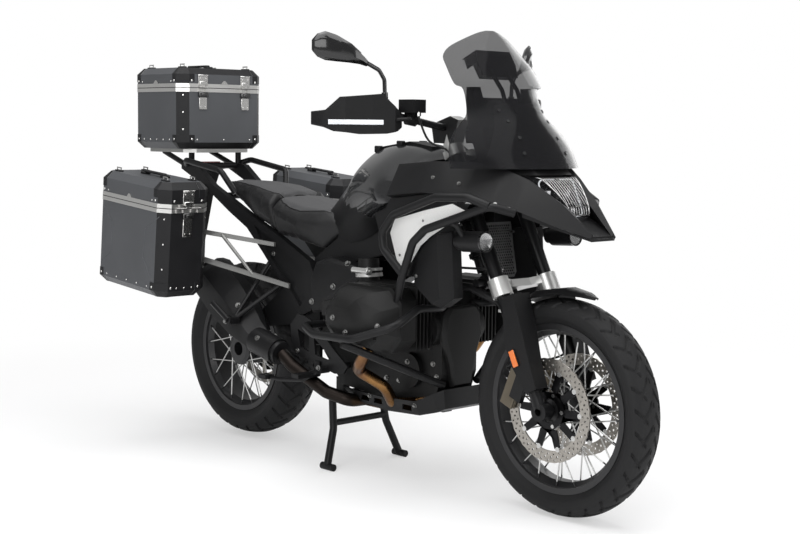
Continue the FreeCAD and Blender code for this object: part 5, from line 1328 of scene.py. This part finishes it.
def latch(y, seam, wide, fall, lid_top):
    """Upper strap, lower clip and keeper plate of one over-centre latch: lid, body and dark parts."""
    lid = [
        brick(-1, 3.2, y - wide, y + wide, seam + 6, lid_top),
        brick(-1, 7.5, y - wide * 0.8, y + wide * 0.8, seam + 10, seam + 24, 1.5),
        brick(-6, 4.5, y - wide * 1.05, y + wide * 1.05, lid_top - 5, lid_top + 2, 1.5)]
    lid += [rivet((3.2, y + s * wide * 0.6, lid_top - 12), (1, 0, 0), 2.6, 1.4) for s in (-1, 1)]
    body = [brick(-2, 3.0, y - wide * 0.82, y + wide * 0.82, seam - fall, seam - 34, 1.2)]
    body += [rivet((3.0, y + s * wide * 0.45, seam - fall + 10), (1, 0, 0), 2.4, 1.4) for s in (-1, 1)]
    clip = [
        brick(-1, 9.5, y - wide, y + wide, seam - 34, seam - 15, 2.5),
        brick(-1, 12, y - wide * 0.5, y + wide * 0.5, seam - 30, seam - 20, 1.5)]
    return lid, body, clip


latch_steel = powder_coat("latch_steel", (0.66, 0.655, 0.64), 0.24, 0.3, 1.0)
latch_dark = powder_coat("latch_dark", (0.10, 0.10, 0.10), 0.26, 0.4, 0.9)

HANDLE_SPAN = 62


def lid_fittings(case):
    """Tie-down lugs near the corners of a lid and the handle between them: bright and black parts."""
    top = case["seam"] + LID_GAP + case["lid"]
    bright, black = [], []
    for x in (-62, 62 - case["length"]):
        for y in (-case["half"] + 48, case["half"] - 48):
            black.append(brick(x - 17, x + 17, y - 9, y + 9, top - 0.5, top + 5, 1.5))
            bright.append(drum((x - 12, y, top + 4), (x - 12, y, top + 13), 2.2, 8))
            bright.append(drum((x + 12, y, top + 4), (x + 12, y, top + 13), 2.2, 8))
            bright.append(drum((x - 14, y, top + 13), (x + 14, y, top + 13), 2.2, 8))
    middle_x = -case["length"] / 2
    for x in (middle_x - HANDLE_SPAN, middle_x + HANDLE_SPAN):
        black.append(brick(x - 14, x + 14, -13, 13, top - 0.5, top + 9, 2))
    black.append(brick(middle_x - HANDLE_SPAN, middle_x + HANDLE_SPAN, -10, 10, top + 7, top + 15, 3))
    return bright, black


def case_fittings(label, case, side, lid_body, latches, wide, fall, tabs, outer_only):
    """Everything fixed to one case, in its own millimetres, made as four pieces."""
    seam, length, half = case["seam"], case["length"], case["half"]
    lid_bright, lid_black = lid_fittings(case)
    body_bright, body_dark = [], []
    for y in latches:
        lid, body, clip = latch(y, seam, wide, fall, seam + case["lid"] - 27)
        lid_bright += lid
        body_bright += body
        body_dark += clip
    sheet = half - SHEET_IN
    for face in ((1,) if outer_only else (1, -1)):
        for x in np.linspace(-CAP_WIDE - 22, CAP_WIDE + 22 - length, 5):
            body_bright.append(rivet((x, face * sheet, 34), (0, face, 0)))
        for x in (-CAP_WIDE - 12, CAP_WIDE + 12 - length):
            lid_bright.append(rivet((x, face * sheet, seam + 24), (0, face, 0)))
    for x, way in ((-SHEET_IN, 1), (SHEET_IN - length, -1)):
        for y in np.linspace(CAP_WIDE + 14 - half, half - CAP_WIDE - 14, 3):
            body_bright.append(rivet((x, y, 34), (way, 0, 0)))
    for z, fixed in ((36, body_bright), (seam + 26, lid_bright)):
        for x, way in ((0, 1), (-length, -1)):
            fixed += [rivet((x, y, z), (way, 0, 0), 4.4, 2.4) for y in (47 - half, half - 47)]
        for x in (-47, 47 - length):
            fixed += [rivet((x, face * half, z), (0, face, 0), 4.4, 2.4) for face in (1, -1)]
    for x, way in ((-18, 1), (18 - length, -1)):
        for face in (1, -1):
            slant = np.array([way, face, 0]) / math.sqrt(2)
            heights = np.linspace(0.32, 0.88, 3) * seam
            body_bright += [rivet((x, face * (half - 18 - SHEET_IN), z), slant) for z in heights]
    for x, y, along_x in tabs:
        lid_bright.append(tab(x, y, seam + 15, along_x, 13))
    place = case_frame(case, side)
    joined(f"{label}_fittings", placed(body_bright, place), "frame", latch_steel)
    joined(f"{label}_clips", placed(body_dark, place), "frame", latch_dark)
    joined(f"{label}_lid_fittings", placed(lid_bright, place), lid_body, latch_steel)
    joined(f"{label}_lid_handle", placed(lid_black, place), lid_body, case_black)


case_fittings(
    "top_case", TOP_CASE, 1, "top_case_lid", (-97, 97), 21, 80,
    ((0.5, 0, False), (-164, 192.5, True), (-164, -195, True)), False)
CHEVRONS = (
    [(-377, 280), (-314, 220), (-318, 118), (-381, 70)], [(-21, 284), (-105, 228), (-113, 132), (-63, 70)])
for side, name in ((1, "left"), (-1, "right")):
    case_fittings(
        f"pannier_{name}", PANNIER, side, f"pannier_lid_{name}", (0,), 23, 98, ((-209, 103, True),), True)
    lines = [line for path in CHEVRONS for line in ridge(path, PANNIER["half"] - SHEET_IN)]
    lines = placed(lines, case_frame(PANNIER, side))
    joined(f"pannier_{name}_chevrons", lines, "frame", case_coat)

# ---------------------------------------------------------------- brake hoses
# Braided hoses in black sleeves: from each caliper up behind its fork leg to the bridge, and on the
# right up the stanchion to the brake lever's cylinder. A thinner pipe on the bridge, in the hoses' black
# rubber, joins both sides.
def behind(trees, y, z, gap):
    """Point a gap behind the rearmost of the nodes' faces at a height and distance from the middle."""
    spots = [tree.ray_cast(spot(300, y, z), Vector((1, 0, 0)))[0] for tree in trees]
    met = [hit.x * 1000 - MIDWAY for hit in spots if hit]
    return (min(met) - gap, y, z) if met else None


HOSE_RADIUS, PIPE_RADIUS, UNION_RADIUS = 3.4, 2.4, 6.5
hose_rubber = rubber("hose_rubber", (0.008, 0.008, 0.008), 0.45)
front_end = [faces_of(node) for node in ("fork_legs", "front_mudguard", "fork_bridge")]
calipers = [faces_of("front_calipers")]
lines, unions = [], []
for side in (-1, 1):
    y = side * 108
    path = [behind(front_end, y, z, 5.5) for z in (700, 655, 610, 560, 510, 465)]
    low = behind(calipers, side * 80, 425, 0)
    path += [(low[0] - 12, side * 96, 440), (low[0] - 4, side * 84, 425)]
    lines.append(hose(path, HOSE_RADIUS, 10, 5))
    unions.append(drum((low[0] - 9, side * 84, 425), (low[0] + 2, side * 82, 425), UNION_RADIUS, 6))
    unions.append(drum((path[0][0], y, 694), (path[0][0], y, 708), 5.5, 6))
    unions.append(brick(path[2][0] - 5, path[2][0] + 8, y - 6, y + 6, 602, 612, 1))
stanchion = [faces_of(node) for node in ("fork_legs", "handlebar", "fork_bridge")]
across = [behind(stanchion, y, 676, 4) for y in (-104, -70, -35, 0, 35, 70, 104)]
lines.append(hose([point for point in across if point], PIPE_RADIUS, 8, 4))
controls = faces_of("hand_controls")
x, y = 330, -205
end = controls.ray_cast(spot(x, y, 1100), Vector((0, 0, 1)))[0].z * 1000
CLIMB = [(-104, 702), (-118, 750), (-126, 800), (-127, 860), (-127, 920), (-127, 980), (-127, 1030)]
climb = [behind(stanchion, y, z, 5) for y, z in CLIMB]
climb = [point for point in climb if point]
climb += [(climb[-1][0] - 14, -136, 1078), (x + 8, -170, 1108), (x, y, end - 14), (x, y, end + 2)]
lines.append(hose(climb, HOSE_RADIUS, 10, 5))
unions.append(drum((x, y, end - 10), (x, y, end + 2), UNION_RADIUS, 6))
joined("brake_hoses", placed(lines, MILLIMETRES), "steering", hose_rubber)
joined("brake_unions", placed(unions, MILLIMETRES), "steering", bolt_steel)

# ---------------------------------------------------------------- throttle bodies
# Blasted aluminium clamp rings on the inlet tracts and a linkage barrel beside each, with a
# hexagon head at its end. They are turned parts, mirrored to the other side.
def hex_head(at, normal, across, height):
    """Hexagon bolt head standing on a face."""
    at, normal = np.array(at, float), np.array(normal, float)
    return drum(at, at + normal / np.linalg.norm(normal) * height, across / 2, 6, chamfer=across * 0.06)


rings = [
    drum((50.2, 150, 668), (49.4, 150, 680), 44.5, 36, bore=40),
    drum((48.2, 149.6, 686), (47.4, 149.4, 695), 44.0, 36, bore=40),
    drum((14, 190, 690), (84, 190, 690), 9, 16, chamfer=2),
    drum((84, 190, 690), (96, 190, 690), 13, 16, chamfer=2),
    hex_head((96, 190, 690), (1, 0, 0), 12, 5)]
joined("throttle_rings", both_sides(rings), "frame", blasted_silver)

# ---------------------------------------------------------------- bolts
# Zinc-plated hexagon heads on round washers, seated on the engine, frame plates, rests, silencer
# and covers. Each is dropped sideways on its node at a listed place, where the face is upright.
BOLTS = [
    ("engine_block", 13, (
        (254, 456), (277, 403), (294, 363), (221, 520), (180, 400), (120, 330), (60, 330), (150, 480))),
    ("main_frame", 15, ((-299, 385), (-250, 420), (-120, 620), (-180, 500), (-60, 700), (-230, 560))),
    ("rear_subframe", 13, ((-330, 740), (-420, 800), (-560, 860), (-500, 700))),
    ("footrests", 13, ((-152, 347), (-299, 385), (-180, 395), (-330, 350))),
    ("silencer", 14, ((-604, 460), (-430, 420), (-560, 520))),
    ("skid_plate", 12, ((240, 270), (120, 270), (20, 270))),
    ("radiator_shrouds", 9, ((300, 760), (360, 700), (270, 650), (400, 870))),
    ("cylinders", 13, ((300, 600), (200, 640), (190, 520), (130, 560), (290, 545))),
    ("nose_fairing", 9, ((420, 1000), (520, 985), (650, 930)))]
heads = []
for node, across, places in BOLTS:
    tree = faces_of(node)
    for x, z in places:
        for side in (-1, 1):
            hit, normal, _, _ = tree.ray_cast(spot(x, side * 700, z), Vector((0, -side, 0)))
            if hit and abs(normal.y) > 0.7:
                base, way = np.array(hit), np.array(normal)
                washer = drum(base - way * 0.0004, base + way * 0.0016, across * 0.0007, 18, chamfer=0.0006)
                heads.append(washer)
                heads.append(hex_head(base + way * 0.0014, way, across * 0.001, across * 0.00045))
zinc = bright_metal("zinc_bolts", (0.26, 0.26, 0.255), 0.3)
joined("bolt_heads", heads, "frame", zinc)

# ---------------------------------------------------------------- silver trims
# Second satin panel under each wing of the fairing: a thin moulded sheet, laid on the wing's side
# from four corners.
SHEET_ROWS, SHEET_COLUMNS = 14, 6


def laid_on(tree, corners, side, lift):
    """Sheet over four (x, z) corners, dropped sideways on a surface and lifted off it along Y."""
    a, b, c, d = (np.array(p, float) for p in corners)
    lines = []
    for u in np.linspace(0, 1, SHEET_ROWS):
        line = []
        for v in np.linspace(0, 1, SHEET_COLUMNS):
            x, z = (a * (1 - u) + b * u) * (1 - v) + (d * (1 - u) + c * u) * v
            hit = tree.ray_cast(spot(x, side * 700, z), Vector((0, -side, 0)))[0]
            line.append((x, hit.y * 1000 + side * lift, z) if hit else (x, np.nan, z))
        lines.append(line)
    grid = np.array(lines, float)
    known = ~np.isnan(grid[:, :, 1])
    if known.sum() < 12:
        return None
    found = np.argwhere(known)
    for i, j in np.argwhere(~known):
        near = found[np.hypot(*(found - (i, j)).T).argmin()]
        grid[i, j, 1] = grid[near[0], near[1], 1]
    return grid


wing = faces_of("nose_fairing")
sheets = []
for side in (-1, 1):
    grid = laid_on(wing, ((470, 948), (690, 922), (650, 912), (480, 934)), side, 1.4)
    if grid is not None:
        back = grid - (0, side * 1.8, 0)
        sheet = slab(grid, back)
        sheets.append(sheet if side < 0 else (sheet[0], [loop[::-1] for loop in sheet[1]]))
joined("wing_silver_trim", placed(sheets, MILLIMETRES), "frame", satin_silver)

# ---------------------------------------------------------------- overall size
# The box of the frame as it was loaded and the box of everything that is visible, in metres, are
# kept side by side so that they can be compared.
size = {"cad": cad_box, "visual": [list(corner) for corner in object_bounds()]}
